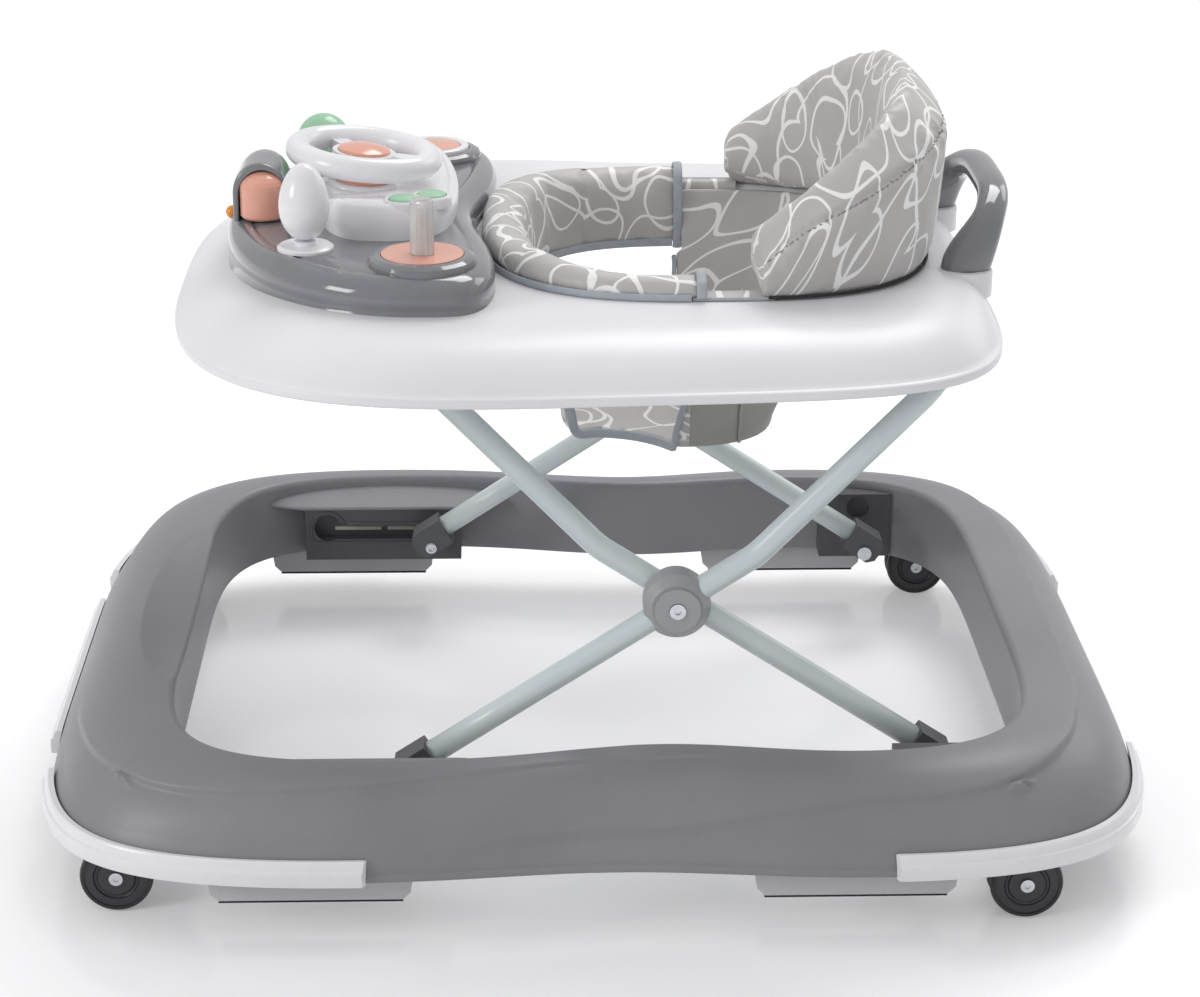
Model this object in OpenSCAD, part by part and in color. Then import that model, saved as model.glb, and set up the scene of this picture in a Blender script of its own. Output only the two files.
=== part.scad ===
// Baby walker: a moulded ring base on casters, a folding scissor frame of bent
// tube, and a play tray with a fabric seat and a toy console.
// Millimetres. +Z is up, the child faces -X, and the origin lies on the floor
// under the middle of the base.

/* [Base ring] */
// Length of the ring over its outer bottom edge
base_len = 736; // [700:2:780]
// Width of the ring over its outer bottom edge
base_wid = 630; // [600:2:660]
// Height of the crest above the floor
base_top = 107; // [100:1:116]
// Height of the ring's open underside above the floor
base_low = 46; // [44:1:50]
// Wall thickness of the ring moulding
base_wall = 3; // [2.4:0.2:3.6]
// Width of the front rail
front_rail = 84; // [76:1:92]
// Width of the rear rail
rear_rail = 77; // [70:1:84]
// Width of each side rail
side_rail = 57; // [52:1:62]
// How far the sides draw in at the waist
waist_in = 13; // [6:1:16]
// Depth of the crescent scooped out of the front rail
scoop_depth = 10.5; // [4:0.5:12]
// Half the length of the crescent
scoop_half = 132; // [110:2:150]

/* [Bumpers and stops] */
// Height of the bumper strips
bumper_h = 17; // [14:1:20]
// Thickness of the bumper strips
bumper_t = 5.5; // [4:0.5:7]
// Length of the front bumper strip
front_bumper_len = 236; // [200:2:260]
// Length of a stop block along its foot
stop_len = 118; // [100:2:130]
// Width of a stop block
stop_w = 18; // [14:1:20]
// Clearance of the stop strips above the floor
stop_gap = 18; // [14:0.5:22]
// Thickness of the rubber strip under a stop block
strip_t = 2.5; // [2:0.5:3]

/* [Casters] */
// Diameter of a caster's tyre
wheel_d = 47.6; // [44:0.4:48]
// Width of one wheel
wheel_w = 9; // [7:0.5:10]
// Diameter of a caster's stem
stem_d = 8; // [6:0.5:9]
// Distance the wheel runs behind the stem
caster_trail = 10; // [8:1:12]

/* [Folding frame] */
// Outer diameter of the frame tube
tube_d = 16; // [14:0.5:17]
// Wall thickness of the frame tube
tube_wall = 1.4; // [1:0.2:2]
// Distance of the rear pivots inside the ring's rear edge
pivot_back = 146; // [138:1:158]
// Height of the lower pivots above the floor
pivot_z = 70; // [66:1:74]
// Run from a lower pivot to the hub
arm_run = 170.5; // [160:0.5:180]
// Rise from a lower pivot to the hub
arm_rise = 120; // [112:1:126]
// Distance of the bend beyond the hub
bend_d = 61; // [50:1:75]
// Slope of the tubes above the bend
upper_slope = 46; // [42:0.5:50]
// Distance of the front arm's legs inside the tracks
leg_clear = 24; // [20:1:24]
// Distance between the legs of the two arms, centre to centre
leg_step = 17; // [16.5:0.5:19]
// Diameter of the hub covers
hub_d = 44; // [38:1:50]
// Depth of the full-diameter part of the outer hub cover
hub_depth = 13; // [11:1:15]
// Travel left for the sliding feet in their tracks
slot_travel = 76; // [74:1:80]

/* [Tray] */
// Length of the tray
tray_len = 548; // [530:2:560]
// Width of the tray at its front
tray_wid = 532; // [520:2:548]
// Height of the tray's deck
tray_deck = 378; // [370:1:390]
// Depth of the tray from its deck to its bottom rim
tray_depth = 33; // [31:1:35]
// Wall thickness of the tray
tray_wall = 2.8; // [2.4:0.2:3.2]
// Length of the seat opening
hole_len = 272; // [264:2:276]
// Width of the seat opening
hole_wid = 280; // [270:2:286]

/* [Handle] */
// Height of the grip above the deck
grip_h = 51; // [46:1:60]
// Distance between the two posts
grip_span = 164; // [150:2:170]
// How far the grip leans back
grip_lean = 24; // [16:1:28]

/* [Toy console] */
// Width of the console
console_wid = 370; // [350:2:376]
// Height of the console
console_h = 23; // [20:1:26]
// Outer diameter of the steering wheel
steer_d = 107; // [98:1:112]
// Thickness of the steering wheel's rim
steer_rim = 16.6; // [14:0.2:18]
// Tilt of the steering wheel towards the child
steer_tilt = 6; // [0:1:8]
// Diameter of a toy pod
pod_d = 70; // [64:1:72]
// Height of the egg
egg_h = 51; // [46:1:54]
// Diameter of the egg
egg_d = 33; // [28:1:36]
// Height of the drum tower above the console
tower_h = 38; // [34:1:42]

/* [Seat] */
// Thickness of the padded front band
band_t = 14; // [10:1:16]
// Depth of the front band below the deck
band_drop = 44; // [36:1:50]
// Height of the front band's crest above the deck, at the front
band_h = 23; // [18:1:26]
// Depth of the seat's bottom below the deck
seat_drop = 131; // [124:1:140]
// Thickness of the sling
sling_t = 6; // [5:0.5:8]
// Height of the backrest above the deck
back_h = 122; // [110:1:130]
// Thickness of the backrest cushion
back_t = 40; // [32:1:42]

/* [Hidden] */
eps = 0.01;
fit = 0.05;                    // radial running clearance of a pin in its bore
gap = 0.3;                     // rest clearance of soft or unlike faces

// ---------- plan curves ----------
function sgn_pow(v, p) = (v < 0 ? -1 : 1) * pow(abs(v), p);
function bell(v, at, width) = exp(-pow((v - at) / width, 2));

// Superellipse of half axes a and b, exponent n, about [cx, 0]
function super_pt(u, cx, a, b, n) = [cx + a * sgn_pow(cos(u), 2 / n), b * sgn_pow(sin(u), 2 / n)];

// Plan angle at share f of the way round; the steps crowd towards the axes, where a
// squarish superellipse would otherwise spread them
function plan_angle(f, crowd = 2.2) = let (q = floor(4 * f + 1e-6), v = 4 * f - q)
    90 * (q + (v < 0.5 ? 0.5 * pow(2 * v, crowd) : 1 - 0.5 * pow(2 * max(0, 1 - v), crowd)));

base_a = base_len / 2;
base_b = base_wid / 2;
pivot_x = base_a - pivot_back;
inner_cx = (front_rail - rear_rail) / 2;
inner_a = base_a - (front_rail + rear_rail) / 2;
inner_b = base_b - side_rail;
side_taper = 0.02;             // the inner curve narrows towards the rear

function ring_outer(u) = let (p = super_pt(u, 0, base_a, base_b, 5.2))
    [p[0], p[1] * (1 - waist_in * bell(p[0], 12, 110) / base_b)];
function ring_inner(u) = let (p = super_pt(u, inner_cx, inner_a, inner_b, 5.8))
    [p[0], p[1] * (1 - side_taper * p[0] / inner_a - 1.5 * waist_in * bell(p[0], 40, 90) / inner_b)];

tray_rim = tray_deck - tray_depth;
tray_cx = pivot_x - arm_run - 57.5;
hole_cx = tray_cx + 84;
function tray_edge(u) = let (p = super_pt(u, tray_cx, tray_len / 2, tray_wid / 2, cos(u) < 0 ? 3 : 5.1))
    [p[0], p[1] * (1 - 0.062 * p[0] / (tray_len / 2))];
function hole_edge(u, grow = 0) =
    super_pt(u, hole_cx, hole_len / 2 + grow, hole_wid / 2 + grow, 2.8);

// Distance of the ring's inner wall from the middle line at the given x
function inner_y(x) = ring_inner(acos(sgn_pow((x - inner_cx) / inner_a, 2.9)))[1];

function mix(p, q, t) = p + (q - p) * t;
function mid_dist(p, q) = norm(q - p);

// ---------- lofting helpers ----------
// Closed tube through closed sections: rows[i][j], both directions wrap
module loft_ring(rows) {
    n = len(rows);
    m = len(rows[0]);
    polyhedron(
        points = [for (r = rows) for (p = r) p],
        faces = [for (i = [0:n - 1]) for (j = [0:m - 1])
            let (a = i * m + j, b = i * m + (j + 1) % m,
                 c = ((i + 1) % n) * m + (j + 1) % m, d = ((i + 1) % n) * m + j)
            each [[a, b, c], [a, c, d]]]);
}

// Open run of closed sections, with flat fans over both ends
module loft_run(rows) {
    n = len(rows);
    m = len(rows[0]);
    polyhedron(
        points = [for (r = rows) for (p = r) p],
        faces = concat(
            [for (i = [0:n - 2]) for (j = [0:m - 1])
                let (a = i * m + j, b = i * m + (j + 1) % m,
                     c = (i + 1) * m + (j + 1) % m, d = (i + 1) * m + j)
                each [[a, b, c], [a, c, d]]],
            [for (j = [1:m - 2]) [0, j + 1, j]],
            [for (j = [1:m - 2]) [(n - 1) * m, (n - 1) * m + j, (n - 1) * m + j + 1]]));
}

// Stack of plan rings from bottom to top, closed below and above by a fan to a centre point
module loft_stack(rows, low, high) {
    n = len(rows);
    m = len(rows[0]);
    polyhedron(
        points = concat([for (r = rows) for (p = r) p], [low, high]),
        faces = concat(
            [for (i = [0:n - 2]) for (j = [0:m - 1])
                let (a = i * m + j, b = i * m + (j + 1) % m,
                     c = (i + 1) * m + (j + 1) % m, d = (i + 1) * m + j)
                each [[a, c, b], [a, d, c]]],
            [for (j = [0:m - 1]) [j, (j + 1) % m, n * m]],
            [for (j = [0:m - 1]) [(n - 1) * m + (j + 1) % m, (n - 1) * m + j, n * m + 1]]));
}

module both_sides() {
    children();
    mirror([0, 1, 0]) children();
}

// ---------- base ----------
ring_steps = 80;
crest_round = 5;               // rounding of the inner top edge

// Height of the ring's skin at fraction t of the rail's width
function skin_drop(t) = 1 - pow(1 - pow(t, 3), 0.625);
crease_lift = 2.2;
facet_allow = 1;               // keeps the wall full where the skin's facets cut across its curve

// The raised inner band ends in a flowing line: it leaves the outer edge at the very front, runs
// back along each side and fades out, and a second one falls from the rear towards the sides.
// Its share of the rail's width over the angle from the front
line_share = [[0, 0.96], [3, 0.9], [6, 0.8], [17, 0.72], [28, 0.67], [40, 0.64], [57, 0.64], [68, 0.61], [78, 0.55],
              [84, 0.5], [88, 0.5], [93, 0.6], [98, 0.68], [111, 0.68], [124, 0.61], [142, 0.5], [160, 0.47], [180, 0.52]];
function line_lift(turn) = crease_lift * max(0, min(1, (turn - 2) / 10)) * min(1, abs(turn - 88) / 9);

// Share of the crescent's width at a point of the inner edge; the crescent lies off centre
scoop_y = 4;
scoop_reach = 0.43;            // share of the rail that the crescent takes at its middle
function scoop(p) = p[0] < 0 ? sqrt(max(0, 1 - pow((p[1] - scoop_y) / scoop_half, 2))) : 0;

// Half section of the rail from its inner foot over the crest to its outer foot, `off` inside the skin
function ring_section(u, off) =
    let (pi = ring_inner(u), po = ring_outer(u), w = mid_dist(pi, po), top = base_top - off, rise = top - base_low,
         turn = abs(atan2(sin(u), -cos(u))), e = scoop(pi), dip = scoop_depth * min(1, 1.6 * e), line = lookup(turn, line_share),
         edge = max(0.08, mix(0.5 * line, min(scoop_reach * e, line - 0.08), min(1, 2.5 * e))) + (off > 0 ? 0.05 : 0),
         ts = off > 0 ? [[edge, 1], [edge + 0.07, 0], [0.68, line < 0.68 ? -1 : 0], [0.87, line < 0.87 ? -1 : 0], [0.95, 0]]
            : concat([[edge - 0.03, 1], [edge + 0.03, 0], [mix(edge, line, 0.63), 0], [line - 0.012, 0], [line + 0.014, -1]],
                     [for (k = [0.35, 0.65, 0.88]) [line + 0.014 + (1 - line - 0.014) * k, -1]]))
    concat(
        [[off, base_low], [off, top - crest_round - dip], [off + crest_round * 0.35, top - crest_round * 0.25 - dip]],
        [for (q = ts) [off + (w - 2 * off) * q[0], top - rise * skin_drop(q[0]) - (q[1] == 1 ? dip : 0)
            - (q[1] == -1 ? line_lift(turn) * (1 - pow(q[0], 6)) : 0) - (off > 0 ? facet_allow : 0)]],
        [[w - off, base_low]]);

function ring_row(u) =
    let (pi = ring_inner(u), po = ring_outer(u), d = (po - pi) / mid_dist(pi, po),
         prof = concat(ring_section(u, 0), reverse(ring_section(u, base_wall))))
    [for (q = prof) [pi[0] + d[0] * q[0], pi[1] + d[1] * q[0], q[1]]];

function reverse(v) = [for (i = [len(v) - 1:-1:0]) v[i]];

module base_shell() {
    color("#77787b") loft_ring([for (i = [0:ring_steps - 1]) reverse(ring_row(plan_angle(i / ring_steps)))]);
}

// ---------- casters ----------
stem_rear = [base_a - 102, base_b - 43];
stem_front = [-(base_a - 66), base_b - 65];
socket_d = stem_d + 12;
socket_low = base_low + 10;
stem_len = 26;
yoke_d = stem_d + 16;

// Left and right are the child's; each entry ends with the way its wheel trails
caster_at = [["front_left", [stem_front[0], -stem_front[1]], -1], ["front_right", stem_front, -1],
             ["rear_left", [stem_rear[0], -stem_rear[1]], 1], ["rear_right", stem_rear, 1]];

module at_caster(i) {
    c = caster_at[i];
    translate([c[1][0], c[1][1], 0]) scale_x(c[2]) children();
}

module scale_x(s) {
    if (s < 0) mirror([1, 0, 0]) children();
    else children();
}

socket_top = socket_low + stem_len - 1;
boss_top = [94, 94, 94.3, 94.3]; // where each socket's boss meets the skin above it

module caster_sockets() {
    color("#6a6b6e") for (i = [0:3]) at_caster(i)
        difference() {
            union() {
                translate([0, 0, socket_low]) cylinder(d = socket_d, h = socket_top - socket_low, $fn = 40);
                translate([0, 0, socket_low]) cylinder(d = 9, h = boss_top[i] - socket_low, $fn = 32);
            }
            translate([0, 0, socket_low - 1])
                cylinder(d = stem_d + 2 * fit, h = stem_len - 2, $fn = 32);
        }
}

wheel_gap = 0.4;               // side clearance between a wheel and its yoke
yoke_web = 5;

module yoke(i) {
    axle_z = wheel_d / 2;
    color("#3c3d40") at_caster(i) {
        difference() {
            union() {
                translate([0, 0, socket_low - 4]) cylinder(d = yoke_d, h = 4 - gap, $fn = 40);
                translate([0, 0, socket_low - 4]) cylinder(d = stem_d, h = stem_len, $fn = 32);
                translate([-yoke_d / 2 + 3, -yoke_web / 2, axle_z - 6])
                    cube([caster_trail + yoke_d / 2 + 3, yoke_web, socket_low - axle_z + 4]);
            }
            translate([caster_trail, yoke_web, axle_z]) rotate([90, 0, 0])
                cylinder(d = axle_d + 2 * fit, h = 2 * yoke_web, $fn = 28);
        }
    }
}

axle_d = 5;
tyre_t = 3.4;

// One of a caster's two wheels lies on each side of the yoke's web
module each_wheel() {
    for (s = [-1, 1])
        translate([caster_trail, s * (yoke_web / 2 + wheel_gap + wheel_w / 2), wheel_d / 2])
            rotate([90, 0, 0]) children();
}

module wheels(i) {
    color("#4c4d50") at_caster(i) each_wheel() {
        difference() {
            cylinder(d = wheel_d - 2 * tyre_t, h = wheel_w - 1.6, center = true, $fn = 48);
            cylinder(d = axle_d, h = wheel_w + 2, center = true, $fn = 28);
            for (z = [-1, 1]) translate([0, 0, z * (wheel_w / 2 - 0.8)])
                rotate_extrude($fn = 48) translate([wheel_d / 4 + 1.5, 0]) circle(r = 1.6, $fn = 16);
        }
    }
}

module tyres(i) {
    color("#252527") at_caster(i) each_wheel()
        rotate_extrude($fn = 56) translate([wheel_d / 2 - tyre_t, 0])
            intersection() {
                translate([0, -wheel_w / 2]) square([tyre_t, wheel_w]);
                translate([-wheel_w * 0.5, 0]) circle(r = wheel_w * 0.5 + tyre_t, $fn = 40);
            }
}

module axle(i) {
    reach = yoke_web / 2 + wheel_gap + wheel_w;
    color("#c9cbce") at_caster(i) translate([caster_trail, 0, wheel_d / 2]) rotate([90, 0, 0]) {
        cylinder(d = axle_d, h = 2 * reach - 1.6, center = true, $fn = 28);
        for (s = [-1, 1]) translate([0, 0, s * (reach - 0.8 + 0.9)]) difference() {
            cylinder(d = 9, h = 1.8, center = true, $fn = 32);
            translate([0, 0, s * 0.9]) cylinder(d = 4.2, h = 1.8, center = true, $fn = 6);
        }
    }
}

// ---------- bumpers and stops ----------
bumper_low = base_low - 1;
bumper_lip = 9;                // how far the top of the strip reaches over the skin

// Height at which the ring's skin stands at distance s inside its outer edge
function skin_z(u, s) = let (w = mid_dist(ring_inner(u), ring_outer(u)), t = 1 - s / w)
    base_top - (base_top - base_low) * skin_drop(t) - crease_lift * (1 - t);

function bumper_row(u) =
    let (pi = ring_inner(u), po = ring_outer(u), d = (po - pi) / mid_dist(pi, po))
    [for (q = [[gap, bumper_low], [bumper_t, bumper_low], [bumper_t, bumper_low + bumper_h * 0.6],
               [bumper_t - 2, bumper_low + bumper_h * 0.66], [bumper_t - 3.5, bumper_low + bumper_h],
               [-bumper_inset(u) + gap, bumper_low + bumper_h], [gap + 0.1 - skin_back(u, 0.5), bumper_low + bumper_h * 0.5]])
        [po[0] + d[0] * q[0], po[1] + d[1] * q[0], q[1]]];

// How far inside the outer edge the skin stands at share k of the strip's height
function skin_back(u, k) =
    let (w = mid_dist(ring_inner(u), ring_outer(u)),
         rise = (bumper_low + bumper_h * k - base_low) / (base_top - base_low),
         t = pow(max(0, 1 - pow(rise, 1.6)), 1 / 3))
    w * (1 - t);
function bumper_inset(u) = skin_back(u, 1);

// Plan angles at which the ring's outer curve reaches a distance from the middle line, or a plan x
function angle_for_y(y) = asin(pow(y / base_b, 2.6));
function angle_for_x(x) = acos(pow(x / base_a, 2.6));

module bumper_strip(u0, u1, steps) {
    loft_run([for (i = [0:steps]) bumper_row(u0 + (u1 - u0) * i / steps)]);
}

module corner_bumpers() {
    color("#f1f1f3") both_sides() {
        bumper_strip(angle_for_y(150), angle_for_x(187), 20);
        bumper_strip(180 - angle_for_x(148), 180 - angle_for_y(175), 20);
    }
}

module front_bumper() {
    a = angle_for_y(front_bumper_len / 2);
    color("#f1f1f3") bumper_strip(180 - a, 180 + a, 12);
}

stop_y = base_b - 37;
stop_front_x = 183 - base_a;
stop_rear_x = base_a - 203;
stop_slant = 8;
stop_top = base_low + 16;

module stop_profile() {
    half = stop_len / 2;
    low = stop_gap + strip_t;
    foot = 5;
    polygon([[-half, low], [half, low], [half + foot, low + foot], [half + stop_slant, base_low],
             [half - 20, base_low], [half - 26, stop_top], [26 - half, stop_top], [20 - half, base_low],
             [-half - stop_slant, base_low], [-half - foot, low + foot]]);
}

module each_stop() {
    both_sides() for (x = [stop_front_x, stop_rear_x])
        translate([x, stop_y, 0]) rotate([90, 0, 0]) children();
}

module stop_blocks() {
    color("#d9dadc") {
        each_stop() translate([0, 0, -stop_w / 2]) linear_extrude(stop_w) stop_profile();
        both_sides() {
            flat_slab(stop_front_x - 26, stop_front_x + 26, stop_top - 1, base_top - 5.2, stop_y - 2.5, 5);
            flat_slab(stop_rear_x - 26, stop_rear_x + 26, stop_top - 1, base_top - 7.4, stop_y - 2.5, 5);
        }
    }
}

module stop_strips() {
    color("#202022") each_stop() translate([0, 0, -stop_w / 2 + 2])
        linear_extrude(stop_w - 4) translate([-stop_len / 2, stop_gap]) square([stop_len, strip_t]);
}

// ---------- scissor geometry ----------
hub_x = pivot_x - arm_run;
hub_z = pivot_z + arm_rise;
foot_x = hub_x - arm_run;
arm_len = norm([arm_run, arm_rise]);
cap_drop = 6.5;                // the pivots sit this far below the tube's centre line
lower_slope = atan(arm_rise / arm_run) - asin(cap_drop / arm_len);
bar_z = tray_deck - 26;          // height of the two cross bars under the tray
track_face = inner_b - 29;     // plane of the track and bracket faces
outer_leg_y = track_face - leg_clear; // half the distance between the legs of the front arm
inner_leg_y = outer_leg_y - leg_step; // and of the rear arm
elbow_r = 55;
corner_r = 35;
// Sharp corner of the bend, from the hub
bend_x = bend_d * cos(lower_slope);
bend_z = bend_d * sin(lower_slope);
bar_run = bend_x + (bar_z - hub_z - bend_z) / tan(upper_slope);
turn = upper_slope - lower_slope;
elbow_cut = elbow_r * tan(turn / 2);
upper_len = (bar_z - hub_z - bend_z) / sin(upper_slope);
tube_start = sqrt(pow(arm_len, 2) - pow(cap_drop, 2)) - 7;

// Centre line of half a U tube in the frame of the hub: [point, direction, side direction] from the
// lower end up to the last station before the cross bar. It climbs towards +X at plan distance y
function dir_at(slope) = [cos(slope), 0, sin(slope)];
function square_to(slope) = [-sin(slope), 0, cos(slope)];
function u_path(y) =
    let (p0 = [-tube_start * cos(lower_slope), y, -tube_start * sin(lower_slope)],
         d0 = dir_at(lower_slope), d1 = dir_at(upper_slope),
         knee = [bend_x, y, bend_z], top = knee + d1 * upper_len)
    concat([[p0, d0, square_to(lower_slope)]],
        [for (k = [0, 0.5, 1]) let (a = turn * k, s = elbow_r * tan(turn / 2), c = knee - d0 * s)
            [c + elbow_r * (sin(a) * d0 + (1 - cos(a)) * square_to(lower_slope)), dir_at(lower_slope + a), square_to(lower_slope + a)]],
        [for (k = [0:15:90]) let (c = top - d1 * corner_r)
            [c + corner_r * (sin(k) * d1 + (1 - cos(k)) * [0, -1, 0]), cos(k) * d1 + sin(k) * [0, -1, 0], square_to(upper_slope)]]);

tube_sides = 16;

// Ring of radius r round the point p, square to dir, starting at the direction u
function tube_ring(p, dir, u, r) = let (w = cross(dir, u))
    [for (k = [0:tube_sides - 1]) let (a = 360 * k / tube_sides) p + r * (cos(a) * u + sin(a) * w)];
function flip_y(p) = [p[0], -p[1], p[2]];

module u_tube(y) {
    half = u_path(y);
    path = concat(half, [for (q = reverse(half)) [flip_y(q[0]), -flip_y(q[1]), q[2]]]);
    n = len(path);
    m = tube_sides;
    outer = [for (q = path) each tube_ring(q[0], q[1], q[2], tube_d / 2)];
    inner = [for (q = path) each tube_ring(q[0], q[1], q[2], tube_d / 2 - tube_wall)];
    polyhedron(points = concat(outer, inner), faces = concat(
        [for (i = [0:n - 2]) for (j = [0:m - 1])
            let (a = i * m + j, b = i * m + (j + 1) % m, c = b + m, d = a + m, o = n * m)
            each [[a, c, b], [a, d, c], [o + a, o + b, o + c], [o + a, o + c, o + d]]],
        [for (e = [0, n - 1]) for (j = [0:m - 1])
            let (a = e * m + j, b = e * m + (j + 1) % m, o = n * m)
            each e == 0 ? [[a, b, o + b], [a, o + b, o + a]] : [[a, o + b, b], [a, o + a, o + b]]]));
}

module at_hub() {
    translate([hub_x, 0, hub_z]) children();
}

tube_paint = "#c3cdcc";

// The rear arm climbs forwards from the rear pivot, and the front arm backwards from the tracks
module rear_arm_tube() {
    color(tube_paint) at_hub() difference() {
        mirror([1, 0, 0]) u_tube(inner_leg_y);
        both_sides() round_plug(bolt_d + 2 * fit, cover_in, cover_mid);
    }
}

module front_arm_tube() {
    color(tube_paint) at_hub() difference() {
        u_tube(outer_leg_y);
        both_sides() round_plug(bolt_d, cover_mid, cover_out);
    }
}

cover_gap = 0.5;
cover_mid = (inner_leg_y + outer_leg_y) / 2;
cover_in = inner_leg_y - tube_d / 2 - 4;
cover_out = outer_leg_y + tube_d / 2 + 3;
bolt_d = 6;

module cover_channel(y) {
    translate([0, y, 0]) rotate([0, 90 - lower_slope, 0])
        cylinder(d = tube_d + 0.1, h = hub_d * 2, center = true, $fn = 36);
}

module round_cone(d0, d1, y0, y1) {
    translate([0, y0, 0]) rotate([-90, 0, 0]) cylinder(d1 = d0, d2 = d1, h = y1 - y0, $fn = 56);
}

module round_plug(d, y0, y1) {
    translate([0, y1, 0]) rotate([90, 0, 0]) cylinder(d = d, h = y1 - y0, $fn = 56);
}

module hub_inner_covers() {
    color("#9fa0a2") at_hub() both_sides() difference() {
        union() {
            round_plug(hub_d - 6, cover_mid - cover_gap / 2 - 9, cover_mid - cover_gap / 2);
            round_cone(hub_d - 16, hub_d - 6, cover_in, cover_mid - cover_gap / 2 - 9);
        }
        mirror([1, 0, 0]) cover_channel(inner_leg_y);
        round_plug(bolt_d + 2 * fit, cover_in - 1, cover_mid + 1);
    }
}

// The outer cover tapers from its full width to a raised round face
module hub_outer_covers() {
    shoulder = cover_mid + cover_gap / 2 + hub_depth;
    color("#9fa0a2") at_hub() both_sides() difference() {
        union() {
            round_plug(hub_d, cover_mid + cover_gap / 2, shoulder);
            round_cone(hub_d, hub_d * 0.76, shoulder, cover_out);
            round_plug(hub_d * 0.68, cover_out, cover_out + 3);
        }
        cover_channel(outer_leg_y);
        round_plug(bolt_d, cover_mid - 1, cover_out + 5);
        round_plug(bolt_d + 5, cover_out + 1.5, cover_out + 5);
    }
}

// The bolt is held by the outer arm and turns in the inner one
module hub_bolts() {
    color("#d4d6d8") at_hub() both_sides() {
        round_plug(bolt_d, cover_in + 1, cover_out + 1.5);
        difference() {
            round_plug(bolt_d + 4.6, cover_out + 1.5, cover_out + 4.1);
            translate([0, cover_out + 2.5, 0]) rotate([-90, 0, 0]) cylinder(d = 5, h = 3, $fn = 6);
        }
    }
}

cap_len = 28;
cap_w = 22;
cap_t = 20;
pin_d = 7;
bracket_t = 4;

// End cap in the frame of its pivot; the tube leaves it towards +Z of this frame
module cap_body(y) {
    difference() {
        translate([-cap_w / 2 - cap_drop + 1.5, y - cap_t / 2, -cap_len / 2 + 3])
            cube([cap_w, cap_t, cap_len]);
        translate([-cap_drop, y, 6.9]) cylinder(d = tube_d + 0.1, h = 30, $fn = 36);
        for (s = [0, 1]) translate([-cap_drop + 1.5 + (s * 2 - 1) * cap_w / 2, 0, -cap_len / 2 + 3])
            rotate([0, 45, 0]) cube([7, 4 * y, 7], center = true);
    }
}

cap_tilt = 90 - atan(arm_rise / arm_run) + asin(cap_drop / arm_len);

module rear_end_caps() {
    color("#56575a") translate([pivot_x, 0, pivot_z]) both_sides() difference() {
        mirror([1, 0, 0]) rotate([0, cap_tilt, 0]) cap_body(inner_leg_y);
        round_plug(pin_d + 2 * fit, inner_leg_y - cap_t, inner_leg_y + cap_t);
    }
}

module front_end_caps() {
    color("#56575a") translate([foot_x, 0, pivot_z]) both_sides() {
        rotate([0, cap_tilt, 0]) cap_body(outer_leg_y);
        round_plug(pin_d, outer_leg_y + cap_t / 2 - 1, track_face + bracket_t + 6);
    }
}

module pivot_pins() {
    color("#c9cbce") translate([pivot_x, 0, pivot_z]) both_sides() {
        round_plug(pin_d, inner_leg_y - cap_t / 2 - 2.3, track_face + bracket_t);
        round_plug(pin_d + 4, inner_leg_y - cap_t / 2 - 2.3, inner_leg_y - cap_t / 2 - gap);
    }
}

// ---------- tracks and brackets ----------
shoe_len = 24;
slot_h = 11;
slot_rear = foot_x + shoe_len / 2 + 1;
slot_front = slot_rear - slot_travel - shoe_len - 2;
track_low = base_low + 1;
track_high = pivot_z + 22;
key_d = 22;

module flat_slab(x0, x1, z0, z1, y0, t) {
    translate([x0, y0, z0]) cube([x1 - x0, t, z1 - z0]);
}

// Rib from a panel's face back into the ring's inner wall
module wall_rib(x0, x1, z0, z1) {
    flat_slab(x0, x1, z0, z1, track_face, inner_y((x0 + x1) / 2) + 1 - track_face);
}

module slot_tracks() {
    color("#5c5d60") both_sides() difference() {
        union() {
            flat_slab(slot_front - 12, slot_rear + 10, track_low, track_high, track_face, bracket_t);
            for (x = [slot_front - 12, slot_rear + 6]) wall_rib(x, x + 4, track_low, track_high);
            wall_rib(slot_front - 12, slot_rear + 10, track_high - 3, track_high);
            wall_rib(slot_front - 12, slot_rear + 10, track_low, track_low + 3);
            flat_slab(slot_front - 6, slot_rear + 4, pivot_z - slot_h / 2 - 3.5, pivot_z - slot_h / 2 - 0.5,
                      track_face + bracket_t, 8);
        }
        flat_slab(slot_front, slot_rear, pivot_z - slot_h / 2, pivot_z + slot_h / 2, track_face - 1, bracket_t + 2);
        translate([slot_front + 6, 0, pivot_z + 4]) round_plug(key_d, track_face - 1, track_face + bracket_t + 1);
    }
}

shoe_clear = 0.4;

module slider_shoe() {
    h = slot_h - 2 * shoe_clear;
    color("#e6e2d8") translate([foot_x, 0, pivot_z]) difference() {
        union() {
            translate([-shoe_len / 2, track_face - 1.5, -h / 2]) cube([shoe_len, bracket_t + 3, h]);
            translate([-shoe_len / 2, track_face - 2.5, -h / 2 - 2]) cube([shoe_len, 1.7, h + 4]);
        }
        round_plug(pin_d + 2 * fit, track_face - 5, track_face + bracket_t + 5);
    }
}

module pivot_brackets() {
    color("#5c5d60") both_sides() difference() {
        union() {
            flat_slab(pivot_x - 30, pivot_x + 26, track_low, pivot_z + 30, track_face, bracket_t);
            for (x = [pivot_x - 30, pivot_x + 22]) wall_rib(x, x + 4, track_low, pivot_z + 30);
            wall_rib(pivot_x - 30, pivot_x + 26, pivot_z + 27, pivot_z + 30);
            translate([pivot_x, 0, pivot_z])
                round_plug(pin_d + 7, inner_leg_y + cap_t / 2 + gap, track_face + 1);
        }
        translate([pivot_x, 0, pivot_z + 19]) round_plug(key_d - 4, track_face - 1, track_face + bracket_t + 1);
        translate([pivot_x, 0, pivot_z]) round_plug(pin_d, inner_leg_y, track_face + bracket_t + 1);
    }
}

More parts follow.
